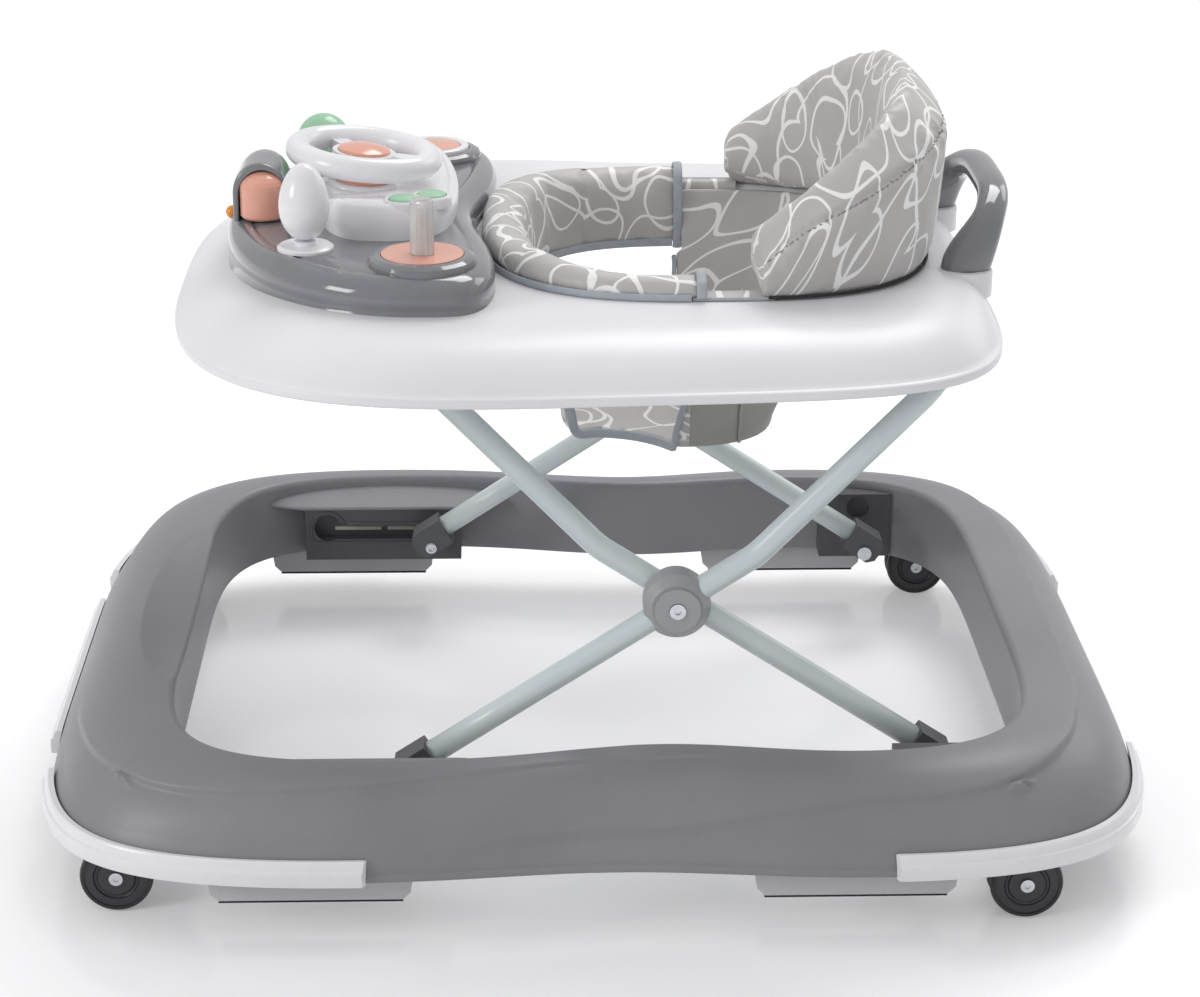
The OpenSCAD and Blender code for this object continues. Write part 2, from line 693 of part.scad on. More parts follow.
// ---------- tray ----------
tray_steps = 64;
tray_drop = tray_deck - tray_rim - 7;
tray_ts = [0.05, 0.14, 0.26, 0.4, 0.56, 0.76, 1];
slope_w = 95;

function slope_run(w) = min(slope_w, 0.62 * w);
function slope_z(k) = tray_rim + 7 + tray_drop * (1 - pow(1 - k, 2.7));

// Height of the tray's top at plan point p, taken along the nearest spoke from rim to seat opening
function tray_skin(p) =
    let (near = [for (i = [0:119]) let (a = tray_edge(3 * i), b = hole_edge(3 * i), w = norm(b - a), d = (b - a) / w,
                 s = (p - a) * d) [norm(p - a - d * s), s, w]],
         best = min([for (q = near) q[0]]), q = [for (q = near) if (q[0] == best) q][0])
    q[1] < 4 ? tray_rim + 7 : slope_z(min(1, (q[1] - 4) / (slope_run(q[2]) - 4)));

function tray_row(u) =
    let (pr = tray_edge(u), ph = hole_edge(u), w = mid_dist(pr, ph), d = (ph - pr) / w,
         run = slope_run(w), t = tray_wall, top = tray_rim + 7,
         skin = [for (k = tray_ts) [4 + (run - 4) * k, slope_z(k)]],
         outer = concat([[0, tray_rim], [0, tray_rim + 4.5], [2.2, top - 1]], skin,
                        [[w - 3, tray_deck], [w, tray_deck - 2.5], [w, tray_deck - 14]]),
         inner = concat([[w - t, tray_deck - 14], [w - t, tray_deck - t]],
                        [for (i = [len(skin) - 1:-1:1]) [skin[i][0] + 1, skin[i][1] - t]],
                        [[t + 1.5, top - t], [t, tray_rim]]))
    [for (q = concat(outer, inner)) [pr[0] + d[0] * q[0], pr[1] + d[1] * q[0], q[1]]];

post_x = tray_cx + tray_len / 2 - 20;
post_z = tray_deck + 1;
socket_post_d = 37;
socket_post_low = bar_z + tube_d / 2 + 1; // the posts' sockets end above the front arm's cross bar

module tray_shell() {
    color("#ececef") union() {
        loft_ring([for (i = [0:tray_steps - 1]) tray_row(plan_angle(i / tray_steps, 2))]);
        for (s = [-1, 1]) translate([post_x, s * grip_span / 2, socket_post_low])
            cylinder(d = socket_post_d, h = post_z - socket_post_low, $fn = 48);
    }
}

bar_front_x = hub_x - bar_run;
bar_rear_x = hub_x + bar_run;
rack_y = inner_leg_y - corner_r - 31; // clear of the bends of the rear arm's cross bar
rack_t = 5;
bar_clear = 0.6;
bar_travel = 110;
rack_low = bar_z - tube_d / 2 - 7;
deck_under = tray_deck - tray_wall;

rack_x0 = bar_front_x - bar_travel;
latch_x = bar_front_x - 44;
latch_z = bar_z - 17;
latch_d = 4;

// Side plate: its top follows the underside of the tray and bites into it over the middle
module rack_profile() {
    polygon([[rack_x0 - 13, rack_low], [rack_x0 - 13, deck_under - 15], [rack_x0 + 5, deck_under - 9.4],
             [rack_x0 + 30, deck_under - 3.6], [rack_x0 + 60, deck_under - 0.6], [rack_x0 + 72, deck_under + 0.6],
             [bar_front_x + 16, deck_under + 0.6], [bar_front_x + 16, rack_low], [latch_x + 12, rack_low],
             [latch_x + 7, latch_z - 7], [latch_x - 7, latch_z - 7], [latch_x - 12, rack_low]]);
}

module height_rack() {
    hw = tube_d / 2 + bar_clear;
    color("#d2d3d5") both_sides() difference() {
        union() {
            translate([0, rack_y + rack_t, 0]) rotate([90, 0, 0]) linear_extrude(rack_t) rack_profile();
            flat_slab(bar_front_x - 30, bar_front_x + 16, deck_under - 4, deck_under + 0.3, rack_y - 8, rack_t + 16);
        }
        flat_slab(rack_x0, bar_front_x, bar_z - hw, bar_z + hw, rack_y - 1, rack_t + 2);
        for (x = [rack_x0, bar_front_x]) translate([x, 0, bar_z]) round_plug(2 * hw, rack_y - 1, rack_y + rack_t + 1);
        translate([latch_x, 0, latch_z]) round_plug(latch_d + 2 * fit, rack_y - 1, rack_y + rack_t + 1);
    }
}

module bar_clamps() {
    w = tube_d + 10;
    color("#d2d3d5") both_sides() translate([bar_rear_x, 0, bar_z]) difference() {
        union() {
            flat_slab(-w / 2, w / 2, -tube_d / 2 - 5, tube_d / 2 + 6, 108, 26);
            flat_slab(-w / 2, 0, tube_d / 2, clamp_rise, 108, 26);
        }
        round_plug(tube_d + 2 * fit, 100, 140);
    }
}

clamp_rise = 23.6;

// Swings up in front of the cross bar to hold it; drawn released
module height_latch() {
    color("#9fa0a2") translate([latch_x, 0, latch_z]) {
        round_plug(10, -rack_y + gap, rack_y - gap);
        translate([0, -30, -5]) cube([31, 60, 6.5]);
        translate([24, -30, -5]) cube([7, 60, 9]);
        translate([-26, -22, -5]) cube([26, 44, 5]);
        round_plug(latch_d, -rack_y - rack_t, rack_y + rack_t);
    }
}

// ---------- handle ----------
handle_steps = 26;

// The grip follows a half superellipse in Y, and leans back as it climbs
function grip_pt(t) = let (a = 180 * t, yy = -grip_span / 2 * sgn_pow(cos(a), 0.62), zz = pow(sin(a), 0.72))
    [post_x + grip_lean * pow(zz, 1.3), yy, post_z + (grip_h - 9) * zz];
function grip_dir(t) = let (h = 0.004, d = grip_pt(min(1, t + h)) - grip_pt(max(0, t - h))) d / norm(d);

function grip_row(t) =
    let (p = grip_pt(t), e = min(1, 5 * min(t, 1 - t)),
         lean = grip_lean * 1.3 * pow(pow(sin(180 * t), 0.72), 0.3) / (grip_h - 9),
         side = [1, 0, -lean] / norm([1, 0, -lean]), dir = e < 0.01 ? [0, 0, t < 0.5 ? 1 : -1] : grip_dir(t),
         up = cross(dir, e < 0.01 ? [1, 0, 0] : side), a = 16.5 - 6 * e, b = 12 - 2.5 * e)
    [for (k = [0:11]) let (f = -30 * k) p + (e < 0.01 ? [1, 0, 0] : side) * a * cos(f) + up * b * sin(f)];

module grab_handle() {
    color("#6e6f72") loft_run([for (i = [0:handle_steps]) grip_row(i / handle_steps)]);
}

// ---------- console ----------
con_cx = tray_cx - 109;
con_front = 132;
con_rear = 54;
con_b = console_wid / 2;
con_top = tray_deck + console_h;

function console_pt(u, grow) = cos(u) < 0
    ? super_pt(u, con_cx, con_front + grow, con_b + grow, 2)
    : let (p = super_pt(u, con_cx, con_rear + grow, con_b + grow, 4.5))
      [p[0] - 19 * bell(p[1], 0, 82) * pow(cos(u), 0.4), p[1]];

// The console's plan, closed: even angles round the front, crowded ones along the rear
function console_ring(grow) = [for (i = [0:47]) let (u = i > 12 && i < 36 ? i * 7.5 : plan_angle(i / 48)) console_pt(u, grow)];

module console_base() {
    rows = [[0.8, 6], [0, 13], [-3, 18], [-8, 21.4], [-18, console_h]];
    color("#737478") difference() {
        loft_stack(
            concat([[for (p = console_ring(0)) [p[0], p[1], tray_skin(p) - 0.4]]],
                [for (r = rows) [for (p = console_ring(r[0])) [p[0], p[1], tray_deck + r[1]]]]),
            [con_cx, 0, tray_deck - 0.4], [con_cx, 0, con_top]);
        for (c = [[-4, -30, 14], [-10, -30, console_h - 3]]) translate([0, 0, tray_deck + c[1]])
            linear_extrude(c[2] - c[1]) polygon(console_ring(c[0]));
    }
}

dash_cx = con_cx - 22;
dash_a = 46;
dash_b = 90;
function dash_lift(y) = 10 * pow(min(1, abs(y) / 70), 2);

module dash_solid() {
    rows = [[0, -3, 0], [0.5, 8, 0.5], [-2, 11.5, 0.9], [-6, 13.5, 1], [-14, 14, 1], [-28, 14, 1]];
    loft_stack(
        [for (r = rows) [for (i = [0:47]) let (p = super_pt(i * 7.5, dash_cx, dash_a + r[0], dash_b + r[0], 2.8))
            [p[0], p[1], con_top + r[1] + dash_lift(p[1]) * r[2]]]],
        [dash_cx, 0, con_top - 3], [dash_cx, 0, con_top + 14]);
}

steer_x = con_cx - 39;
steer_z = con_top + 36.5;
column_d = 36;
button_d = 20;
button_at = [[con_cx + 8, -62, con_top + 23.5], [con_cx - 10, -75, con_top + 21.5]];
button_travel = 2;
well_depth = 6;

module dash_housing() {
    color("#f0f0f3") difference() {
        union() {
            dash_solid();
            translate([button_at[0][0], button_at[0][1], con_top + 12]) cylinder(d = button_d + 6, h = 12.3, $fn = 40);
        }
        for (b = button_at) translate([b[0], b[1], b[2] - well_depth])
            cylinder(d = button_d + 0.6, h = 20, $fn = 32);
        on_steer_axis() translate([0, 0, -27.3]) cylinder(d = 5 + 2 * fit, h = 30, $fn = 28);
    }
}

module on_steer_axis() {
    translate([steer_x, 0, steer_z]) rotate([0, steer_tilt, 0]) children();
}

module steering_column() {
    color("#d8a598") on_steer_axis() {
        translate([0, 0, -20]) cylinder(d = column_d, h = 12.2, $fn = 48);
        translate([0, 0, -27]) cylinder(d = 5, h = 8, $fn = 28);
    }
}

module steering_wheel() {
    r = steer_d / 2 - steer_rim / 2;
    color("#f4f4f6") on_steer_axis() difference() {
        union() {
            rotate_extrude($fn = 72) translate([r, 0]) circle(d = steer_rim, $fn = 32);
            translate([0, 0, -7.5]) cylinder(d = 43, h = 9.5, $fn = 48);
            for (a = [0, 120, 240]) rotate([0, 0, a]) translate([0, -6, -6]) cube([r, 12, 7]);
        }
        translate([0, 0, -2.4]) cylinder(d = 35.6, h = 20, $fn = 48);
    }
}

module horn_button() {
    color("#f0a284") on_steer_axis() {
        translate([0, 0, 1]) cylinder(d = 35, h = 2.6, $fn = 48);
        translate([0, 0, 3.6]) rotate_extrude($fn = 48) intersection() {
            translate([0, -48.6 + 3.6]) circle(r = 48.6, $fn = 96);
            square([17.5, 10]);
        }
    }
}

module dash_button(i) {
    b = button_at[i];
    color("#a9d6b6") translate([b[0], b[1], b[2] - well_depth + button_travel + 0.3])
        cylinder(d = button_d, h = well_depth, $fn = 32);
}

egg_at = [con_cx - 73, 78 - con_b];
egg_low = con_top + 6;

module egg_toy() {
    color("#f3f3f3") translate([egg_at[0], egg_at[1], egg_low]) rotate_extrude($fn = 56)
        polygon([for (k = [0:24]) let (a = 180 * k / 24)
            [egg_d / 2 * sin(a) * (1 + 0.12 * cos(a)), egg_h / 2 * (1 - cos(a))]]);
}

module egg_stand() {
    color("#f0f0f2") translate([egg_at[0], egg_at[1], con_top]) {
        cylinder(d = 37, h = 1.6, $fn = 48);
        translate([0, 0, 1.6]) cylinder(d1 = 37, d2 = 33, h = 1.4, $fn = 48);
        translate([0, 0, 3]) cylinder(d = 14, h = 2.7, $fn = 36);
    }
}

mirror_at = [egg_at[0], -egg_at[1]];

module mirror_dome() {
    color("#a5d8c2") translate([mirror_at[0], mirror_at[1], con_top + gap]) {
        cylinder(d = 38, h = 20, $fn = 48);
        translate([0, 0, 20]) rotate_extrude($fn = 48) intersection() {
            circle(r = 19, $fn = 64);
            square([19, 19]);
        }
    }
}

pod_at = [con_cx + 4, con_b - 44];
ring_h = 6;
disc_d = 53;

module pod_ring_shape() {
    rotate_extrude($fn = 64) polygon([[0, -3], [pod_d / 2, -3], [pod_d / 2, 2], [pod_d / 2 - 1, 4],
        [pod_d / 2 - 4, 5.6], [pod_d / 2 - 6, ring_h], [disc_d / 2 + 0.4, ring_h], [disc_d / 2 + 0.4, 1.2], [0, 1.2]]);
}

module pod_rings() {
    color("#6b6c70") both_sides() translate([pod_at[0], pod_at[1], con_top]) difference() {
        pod_ring_shape();
        translate([0, 0, 0.6]) cylinder(d = 12, h = 2, $fn = 32);
    }
}

module near_pod_disc() {
    color("#eda98f") translate([pod_at[0], -pod_at[1], con_top + 1.5]) {
        cylinder(d = disc_d, h = 5, $fn = 56);
        cylinder(d = 5, h = 34, $fn = 28);
    }
}

roller_h = 36;

module pod_roller() {
    color("#dcdcda") translate([pod_at[0], -pod_at[1], con_top + 6.8]) difference() {
        union() {
            rotate([0, 0, 22.5]) cylinder(d = 16.6, h = roller_h - 4, $fn = 8);
            translate([0, 0, roller_h - 4]) cylinder(d = 15, h = 2, $fn = 36);
            translate([0, 0, roller_h - 2]) cylinder(d1 = 15, d2 = 10, h = 2, $fn = 36);
        }
        translate([0, 0, -1]) cylinder(d = 5 + 2 * fit, h = 31, $fn = 28);
    }
}

press = 2.5;

module far_pod_button() {
    color("#eda98f") translate([pod_at[0], pod_at[1], con_top + 1.5 + press]) {
        cylinder(d = disc_d - 0.6, h = 4.6, $fn = 56);
    }
}

tower_x = con_cx - 106;
tower_y = -31;
drum_d = 31;
hood_y = [-36, 40];

module hood_profile() {
    r = 17;
    polygon(concat([[-20, -8], [17, -8]],
        [for (a = [0:15:180]) [(a < 90 ? 17 : 17) * cos(a) * (a < 90 ? 1 : 37 / 34) , tower_h - r + r * sin(a)]]));
}

module tower_hood() {
    color("#6b6c70") difference() {
        translate([tower_x, hood_y[1], con_top]) rotate([90, 0, 0]) linear_extrude(hood_y[1] - hood_y[0]) hood_profile();
        translate([tower_x, tower_y, con_top + 1]) cylinder(d = drum_d + 1, h = tower_h - 6, $fn = 40);
    }
}

module tower_drum() {
    color("#e59a80") translate([tower_x, tower_y, con_top + 1.3]) rotate_extrude($fn = 40)
        polygon(concat([[0, 0], [drum_d / 2 - 1, 0], [drum_d / 2, 1.5], [drum_d / 2, 20]],
            [for (a = [15:15:90]) [drum_d / 2 * cos(a), 20 + 11.5 * sin(a)]]));
}

module orange_knob() {
    color("#f39c2f") translate([con_cx - con_front + 2, 0, con_top - 4]) rotate([0, -90, 0]) {
        rotate_extrude($fn = 32) intersection() {
            circle(r = 4.5, $fn = 40);
            square([4.5, 4.5]);
        }
        translate([0, 0, -4]) cylinder(r = 4.5, h = 4, $fn = 32);
    }
}

// ---------- seat ----------
band_from = 91.5;
band_steps = 30;

function band_row(u) =
    let (ph = hole_edge(u), po = hole_edge(u, 16), d = (po - ph) / norm(po - ph), deck = tray_deck + gap,
         crest = 16 + (band_h - 16) * pow(max(0, -cos(u)), 1.5))
    [for (q = [[15.5, deck], [16, deck + 5], [11, deck + crest - 4], [2, deck + crest], [-6, deck + crest - 3], [-band_t + 2, deck + 4],
               [-band_t, tray_deck - 20], [-band_t + 1, tray_deck - band_drop], [-band_t + 7, tray_deck - band_drop],
               [-4, tray_deck - 18], [-1, tray_deck - 14], [-1, deck]])
        [ph[0] + d[0] * q[0], ph[1] + d[1] * q[0], q[1]]];

module seat_front_band() {
    color("#b3aea6") loft_run([for (i = [0:band_steps])
        band_row(band_from + (360 - 2 * band_from) * i / band_steps)]);
}

seat_z = tray_deck - seat_drop;
seat_cx = hole_cx - 24;
seat_a = 75;
seat_b = 77;
crotch_w = 84;                 // width of the panel between the legs
leg_r = 66;
leg_x = hole_cx - 78;          // middle of the leg holes

// Plan ring of the seat bag at share k of its height, drawn in by `inset`
function bag_ring(k, inset, z) = [for (i = [0:39])
    let (u = i * 9, f = k * k * (3 - 2 * k), p = mix(super_pt(u, seat_cx, seat_a, seat_b, 2.6), hole_edge(u, -1), f),
         c = [mix(seat_cx, hole_cx, f), 0], d = (p - c) / norm(p - c), q = p - d * inset)
    [q[0], q[1], z]];

module bag(inset, low, high) {
    rows = concat([bag_ring(0, inset + 14, low), bag_ring(0, inset + 3, low + 3)],
        [for (k = [0.05, 0.16, 0.35, 0.62, 1]) bag_ring(k, inset, mix(seat_z, high, k) + (1 - k) * (low - seat_z) + 1)]);
    loft_stack(rows, [seat_cx, 0, low - 1], [hole_cx, 0, high + 1]);
}

module seat_sling() {
    color("#a7a59c") difference() {
        bag(0, seat_z + 1, tray_deck - 2);
        bag(sling_t, seat_z + 1 + sling_t, tray_deck + 2);
        both_sides() {
            translate([leg_x, crotch_w / 2 + leg_r, seat_z - 20]) cylinder(r = leg_r, h = hole_wid, $fn = 64);
            translate([leg_x - hole_len, crotch_w / 2, seat_z - 20]) cube([hole_len, hole_wid, hole_wid]);
        }
        translate([leg_x - hole_len, -hole_wid, tray_deck - band_drop - gap])
            cube([hole_len + 70, 2 * hole_wid, band_drop + back_t]);
    }
}

back_from = 85;
back_steps = 30;
wing_h = 32;                   // height of the wings' tips

// Share of the way from the wings' tips to the rear, for a point of the inner envelope
function back_share(x) = let (tip = hole_cx + 12) max(0, min(1, (x - tip) / (hole_cx + hole_len / 2 - back_t + 15 - tip)));

// The crest runs along the inner edge and climbs evenly to the rear; the top slopes down from it
// to the outer seam, and the inner foot lifts over the ends of the front band
function back_row(u) =
    let (po = hole_edge(u, 16), pi = hole_edge(u, 15 - back_t), w = norm(po - pi), d = (po - pi) / w,
         z0 = tray_deck + gap, s = back_share(pi[0]), h = wing_h + (back_h - wing_h) * s,
         lift = 20 * pow(1 - s, 2), seam = h * (0.58 + 0.24 * min(1, 4 * s) - 0.06 * s), lean = 9 * h / back_h)
    [for (q = [[1, lift, 0], [0, mix(lift, h, 0.3), 0.3], [3, mix(lift, h, 0.72), 0.7], [7, h * 0.95, 1], [12, h, 1], [18, mix(h, seam, 0.2), 1],
               [w - 5, mix(h, seam, 0.9), 1], [w - 1, seam - 3, 0.9], [w, seam * 0.4, 0.4], [w - 1, 0, 0], [w - 12, 0, 0]])
        [pi[0] + d[0] * (q[0] + lean * q[2]), pi[1] + d[1] * (q[0] + lean * q[2]), z0 + q[1]]];

module backrest_cushion() {
    color("#b3aea6") loft_run([for (i = [0:back_steps])
        reverse(back_row(-back_from + 2 * back_from * i / back_steps))]);
}

base_shell();
caster_sockets();
corner_bumpers();
front_bumper();
stop_blocks();
stop_strips();
slot_tracks();
pivot_brackets();
pivot_pins();
yoke(0);  // yoke_front_left
yoke(1);  // yoke_front_right
yoke(2);  // yoke_rear_left
yoke(3);  // yoke_rear_right
wheels(0);  // wheels_front_left
wheels(1);  // wheels_front_right
wheels(2);  // wheels_rear_left
wheels(3);  // wheels_rear_right
tyres(0);  // tyres_front_left
tyres(1);  // tyres_front_right
tyres(2);  // tyres_rear_left
tyres(3);  // tyres_rear_right
axle(0);  // axle_front_left
axle(1);  // axle_front_right
axle(2);  // axle_rear_left
axle(3);  // axle_rear_right
rear_arm_tube();
front_arm_tube();
hub_inner_covers();
hub_outer_covers();
hub_bolts();
rear_end_caps();
front_end_caps();
mirror([0, 1, 0]) slider_shoe();  // slider_shoe_left
slider_shoe();  // slider_shoe_right
tray_shell();
height_rack();
bar_clamps();
height_latch();
grab_handle();
console_base();
dash_housing();
steering_column();
steering_wheel();
horn_button();
dash_button(0);  // dash_button_upper
dash_button(1);  // dash_button_lower
egg_toy();
egg_stand();
mirror_dome();
pod_rings();
near_pod_disc();
pod_roller();
far_pod_button();
tower_hood();
tower_drum();
orange_knob();
seat_front_band();
seat_sling();
backrest_cushion();
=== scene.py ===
import bpy
import bmesh
import math
import numpy as np
from mathutils import Matrix, Vector
from mathutils.bvhtree import BVHTree
from mathutils.interpolate import poly_3d_calc


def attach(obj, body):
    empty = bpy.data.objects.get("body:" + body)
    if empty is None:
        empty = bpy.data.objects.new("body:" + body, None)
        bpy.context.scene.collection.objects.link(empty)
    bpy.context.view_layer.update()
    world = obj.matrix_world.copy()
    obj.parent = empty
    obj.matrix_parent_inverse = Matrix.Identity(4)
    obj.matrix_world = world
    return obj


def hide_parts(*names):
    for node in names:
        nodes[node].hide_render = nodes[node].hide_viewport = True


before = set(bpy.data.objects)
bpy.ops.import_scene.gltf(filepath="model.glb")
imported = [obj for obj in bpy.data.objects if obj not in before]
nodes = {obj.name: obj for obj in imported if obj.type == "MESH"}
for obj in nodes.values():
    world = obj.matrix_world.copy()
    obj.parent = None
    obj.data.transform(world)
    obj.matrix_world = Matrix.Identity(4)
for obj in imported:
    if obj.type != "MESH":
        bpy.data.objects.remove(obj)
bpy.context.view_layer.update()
scene = bpy.context.scene
print("frame loaded")


def linearFrom(hexText):  # sRGB hex to the linear values that the shaders take
    channels = [int(hexText[i:i + 2], 16) / 255 for i in (1, 3, 5)]
    return tuple(c / 12.92 if c <= 0.04045 else ((c + 0.055) / 1.055) ** 2.4 for c in channels) + (1.0,)


def addNode(tree, kind, settings=None, inputs=None):
    node = tree.nodes.new(kind)
    for key, value in (settings or {}).items():
        setattr(node, key, value)
    for key, value in (inputs or {}).items():
        if isinstance(value, bpy.types.NodeSocket):
            tree.links.new(value, node.inputs[key])
        else:
            node.inputs[key].default_value = value
    return node


def startMaterial(name, colour, roughness, **fixed):
    material = bpy.data.materials.new(name)
    material.use_nodes = True
    tree = material.node_tree
    shader = tree.nodes["Principled BSDF"]
    shader.inputs["Base Color"].default_value = linearFrom(colour)
    shader.inputs["Roughness"].default_value = roughness
    for key, value in fixed.items():
        shader.inputs[key].default_value = value
    return material, tree, shader, addNode(tree, "ShaderNodeTexCoord").outputs["Object"]


def perMetre(millimetres):  # noise scale whose feature is this long
    return 1000 / millimetres


def addObject(name, data):
    thing = bpy.data.objects.new(name, data)
    scene.collection.objects.link(thing)
    return thing


def makeMesh(name, points, faces, material, sharpAngle=None, tidy=False):
    mesh = bpy.data.meshes.new(name)
    mesh.from_pydata((np.asarray(points, float) / 1000).tolist(), [], faces)
    if tidy:
        bm = bmesh.new()
        bm.from_mesh(mesh)
        bmesh.ops.recalc_face_normals(bm, faces=bm.faces)
        bm.to_mesh(mesh)
        bm.free()
    mesh.polygons.foreach_set("use_smooth", [True] * len(mesh.polygons))
    if sharpAngle:
        mesh.set_sharp_from_angle(angle=math.radians(sharpAngle))
    if material:
        mesh.materials.append(material)
    return addObject(name, mesh)


def loftPiece(name, rows, material, sharpAngle=None, ends="closed"):  # ends are closed, open, or joined in a ring
    rows = np.asarray(rows, float)
    n, m = rows.shape[:2]
    faces = [(i * m + j, i * m + (j + 1) % m, ((i + 1) % n) * m + (j + 1) % m, ((i + 1) % n) * m + j)
             for i in range(n if ends == "joined" else n - 1) for j in range(m)]
    if ends == "closed":
        faces += [tuple(range(m))[::-1], tuple((n - 1) * m + j for j in range(m))]
    return makeMesh(name, rows.reshape(-1, 3), faces, material, sharpAngle, tidy=True)


def signedPower(v, p):
    return np.sign(v) * np.abs(v) ** p


def bell(v, at, width):
    return np.exp(-((v - at) / width) ** 2)


def smoothStep(v, low, high):
    t = np.clip((v - low) / (high - low), 0, 1)
    return t * t * (3 - 2 * t)


def superPoint(u, cx, a, b, n):
    return np.stack([cx + a * signedPower(np.cos(u), 2 / n), b * signedPower(np.sin(u), 2 / n)], -1)


def between(a, b, k):
    return a + (b - a) * k


def runAlong(points):  # running length along a line of points
    return np.concatenate([[0], np.cumsum(np.linalg.norm(np.diff(points, axis=0), axis=1))])


def sampled(points, grid, at):  # the line of points read off between its grid values
    return np.array([np.interp(at, grid, points[:, i]) for i in range(points.shape[1])]).T


def eased(points, times):  # softens a line of points and holds its ends
    for _ in range(times):
        points[1:-1] = (points[:-2] + 2 * points[1:-1] + points[2:]) / 4
    return points


def unitRows(vectors):
    return vectors / np.linalg.norm(vectors, axis=1)[:, None]


def evenAngles(curve, count):  # plan angles that give even steps along a closed curve
    u = np.linspace(0, 2 * math.pi, 8001)
    run = runAlong(curve(u))
    return np.interp(np.linspace(0, run[-1], count, endpoint=False), run, u)


def edgeNormal(edge, u):  # plan direction outward from an edge
    n = edge(u + 0.004) - edge(u - 0.004)
    return np.array([n[1], -n[0]]) / np.linalg.norm(n)


def standUp(section, at, out):  # distances outward and heights, stood up on a plan point
    return [[at[0] + out[0] * s, at[1] + out[1] * s, z] for s, z in section]


def sweepTube(name, path, radius, material, sides=24):  # tube along points, with parallel frames
    path = np.asarray(path, float)
    tangent = unitRows(np.gradient(path, axis=0))
    up = np.cross(tangent[0], [0.3, 0.2, 0.9])
    up /= np.linalg.norm(up)
    rings = []
    angles = np.linspace(0, 2 * math.pi, sides, endpoint=False)
    for p, t in zip(path, tangent):
        up = up - t * np.dot(up, t)
        up /= np.linalg.norm(up)
        side = np.cross(t, up)
        rings.append([p + radius * (math.cos(a) * up + math.sin(a) * side) for a in angles])
    return loftPiece(name, rings, material)


def lathe(profile, centre=(0, 0, 0), sides=72, turn=None):
    # Rings of a turned form, about Z or tilted about Y by so many degrees
    a = np.linspace(0, 2 * math.pi, sides, endpoint=False)
    rows = np.array([[[r * math.cos(q), r * math.sin(q), z] for q in a] for r, z in profile])
    if turn:
        c, s = math.cos(math.radians(turn)), math.sin(math.radians(turn))
        rows = rows @ np.array([[c, 0, s], [0, 1, 0], [-s, 0, c]]).T
    return rows + np.array(centre, float)


def ridesOn(piece, body, replaced):  # its body, and the construction's parts that it stands for
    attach(piece, body)
    if replaced:
        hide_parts(*replaced)
    return piece


def coverWith(piece, *finishes):
    piece.data.materials.clear()
    for finish in finishes:
        piece.data.materials.append(finish)


def surfaceOf(piece):  # tree for finding the nearest place on a piece
    return BVHTree.FromPolygons([v.co.copy() for v in piece.data.vertices],
                                [tuple(f.vertices) for f in piece.data.polygons])


def setCloth(piece, perVertex):  # cloth coordinates in mm, one pair for each vertex
    layer = piece.data.uv_layers.new(name="cloth")
    layer.data.foreach_set("uv", [c for corner in piece.data.loops for c in perVertex[corner.vertex_index]])


def patternSurface(tree, shader, pattern, deep, pale, gloss=None, relief=None):
    # Colour, and gloss where it is given, follow a pattern; relief is a height, its strength and its depth in mm
    ground = linearFrom(deep) if isinstance(deep, str) else deep
    tint = addNode(tree, "ShaderNodeMix", {"data_type": "RGBA"}, {0: pattern, 6: ground, 7: linearFrom(pale)})
    tree.links.new(tint.outputs[2], shader.inputs["Base Color"])
    if gloss:
        spread = addNode(tree, "ShaderNodeMapRange", {}, {"Value": pattern, "To Min": gloss[0], "To Max": gloss[1]})
        tree.links.new(spread.outputs["Result"], shader.inputs["Roughness"])
    if relief:
        height, strength, depth = relief
        bump = addNode(tree, "ShaderNodeBump", {}, {"Strength": strength, "Distance": depth / 1000, "Height": height})
        tree.links.new(bump.outputs["Normal"], shader.inputs["Normal"])


def mouldedPlastic(name, look):
    # Injection-moulded ABS or PP: one pigment with faint flow clouds, a spark-eroded or polished tool skin,
    # and gloss that wanders a little where hands and shoes have rubbed it
    material, tree, shader, where = startMaterial(name, look["colour"], look["rough"], IOR=1.5)
    shader.inputs["Coat Weight"].default_value = look.get("coat", 0.0)
    shader.inputs["Coat Roughness"].default_value = 0.08
    clouds = addNode(tree, "ShaderNodeTexNoise", {},
                     {"Vector": where, "Scale": perMetre(look.get("cloud", 70)), "Detail": 3.0})
    specks = addNode(tree, "ShaderNodeTexNoise", {},
                     {"Vector": where, "Scale": perMetre(look["grain"] * 3), "Detail": 2.0})
    both = addNode(tree, "ShaderNodeMath", {"operation": "MULTIPLY_ADD"},
                   {0: specks.outputs["Fac"], 1: 0.3, 2: clouds.outputs["Fac"]})
    spread = addNode(tree, "ShaderNodeMapRange", {}, {"Value": both.outputs[0], "From Min": 0.4, "From Max": 0.9})
    grain = addNode(tree, "ShaderNodeTexNoise", {}, {"Vector": where, "Scale": perMetre(look["grain"]), "Detail": 2.0})
    patternSurface(tree, shader, spread.outputs["Result"], look["deep"], look["colour"],
                   relief=(grain.outputs["Fac"], look.get("bump", 0.3), look.get("depth", 0.03)))
    wander = 0.04  # of roughness, either way
    gloss = addNode(tree, "ShaderNodeMapRange", {}, {"Value": clouds.outputs["Fac"], "From Min": 0.3, "From Max": 0.7,
                    "To Min": look["rough"] - wander, "To Max": look["rough"] + wander})
    tree.links.new(gloss.outputs["Result"], shader.inputs["Roughness"])
    return material


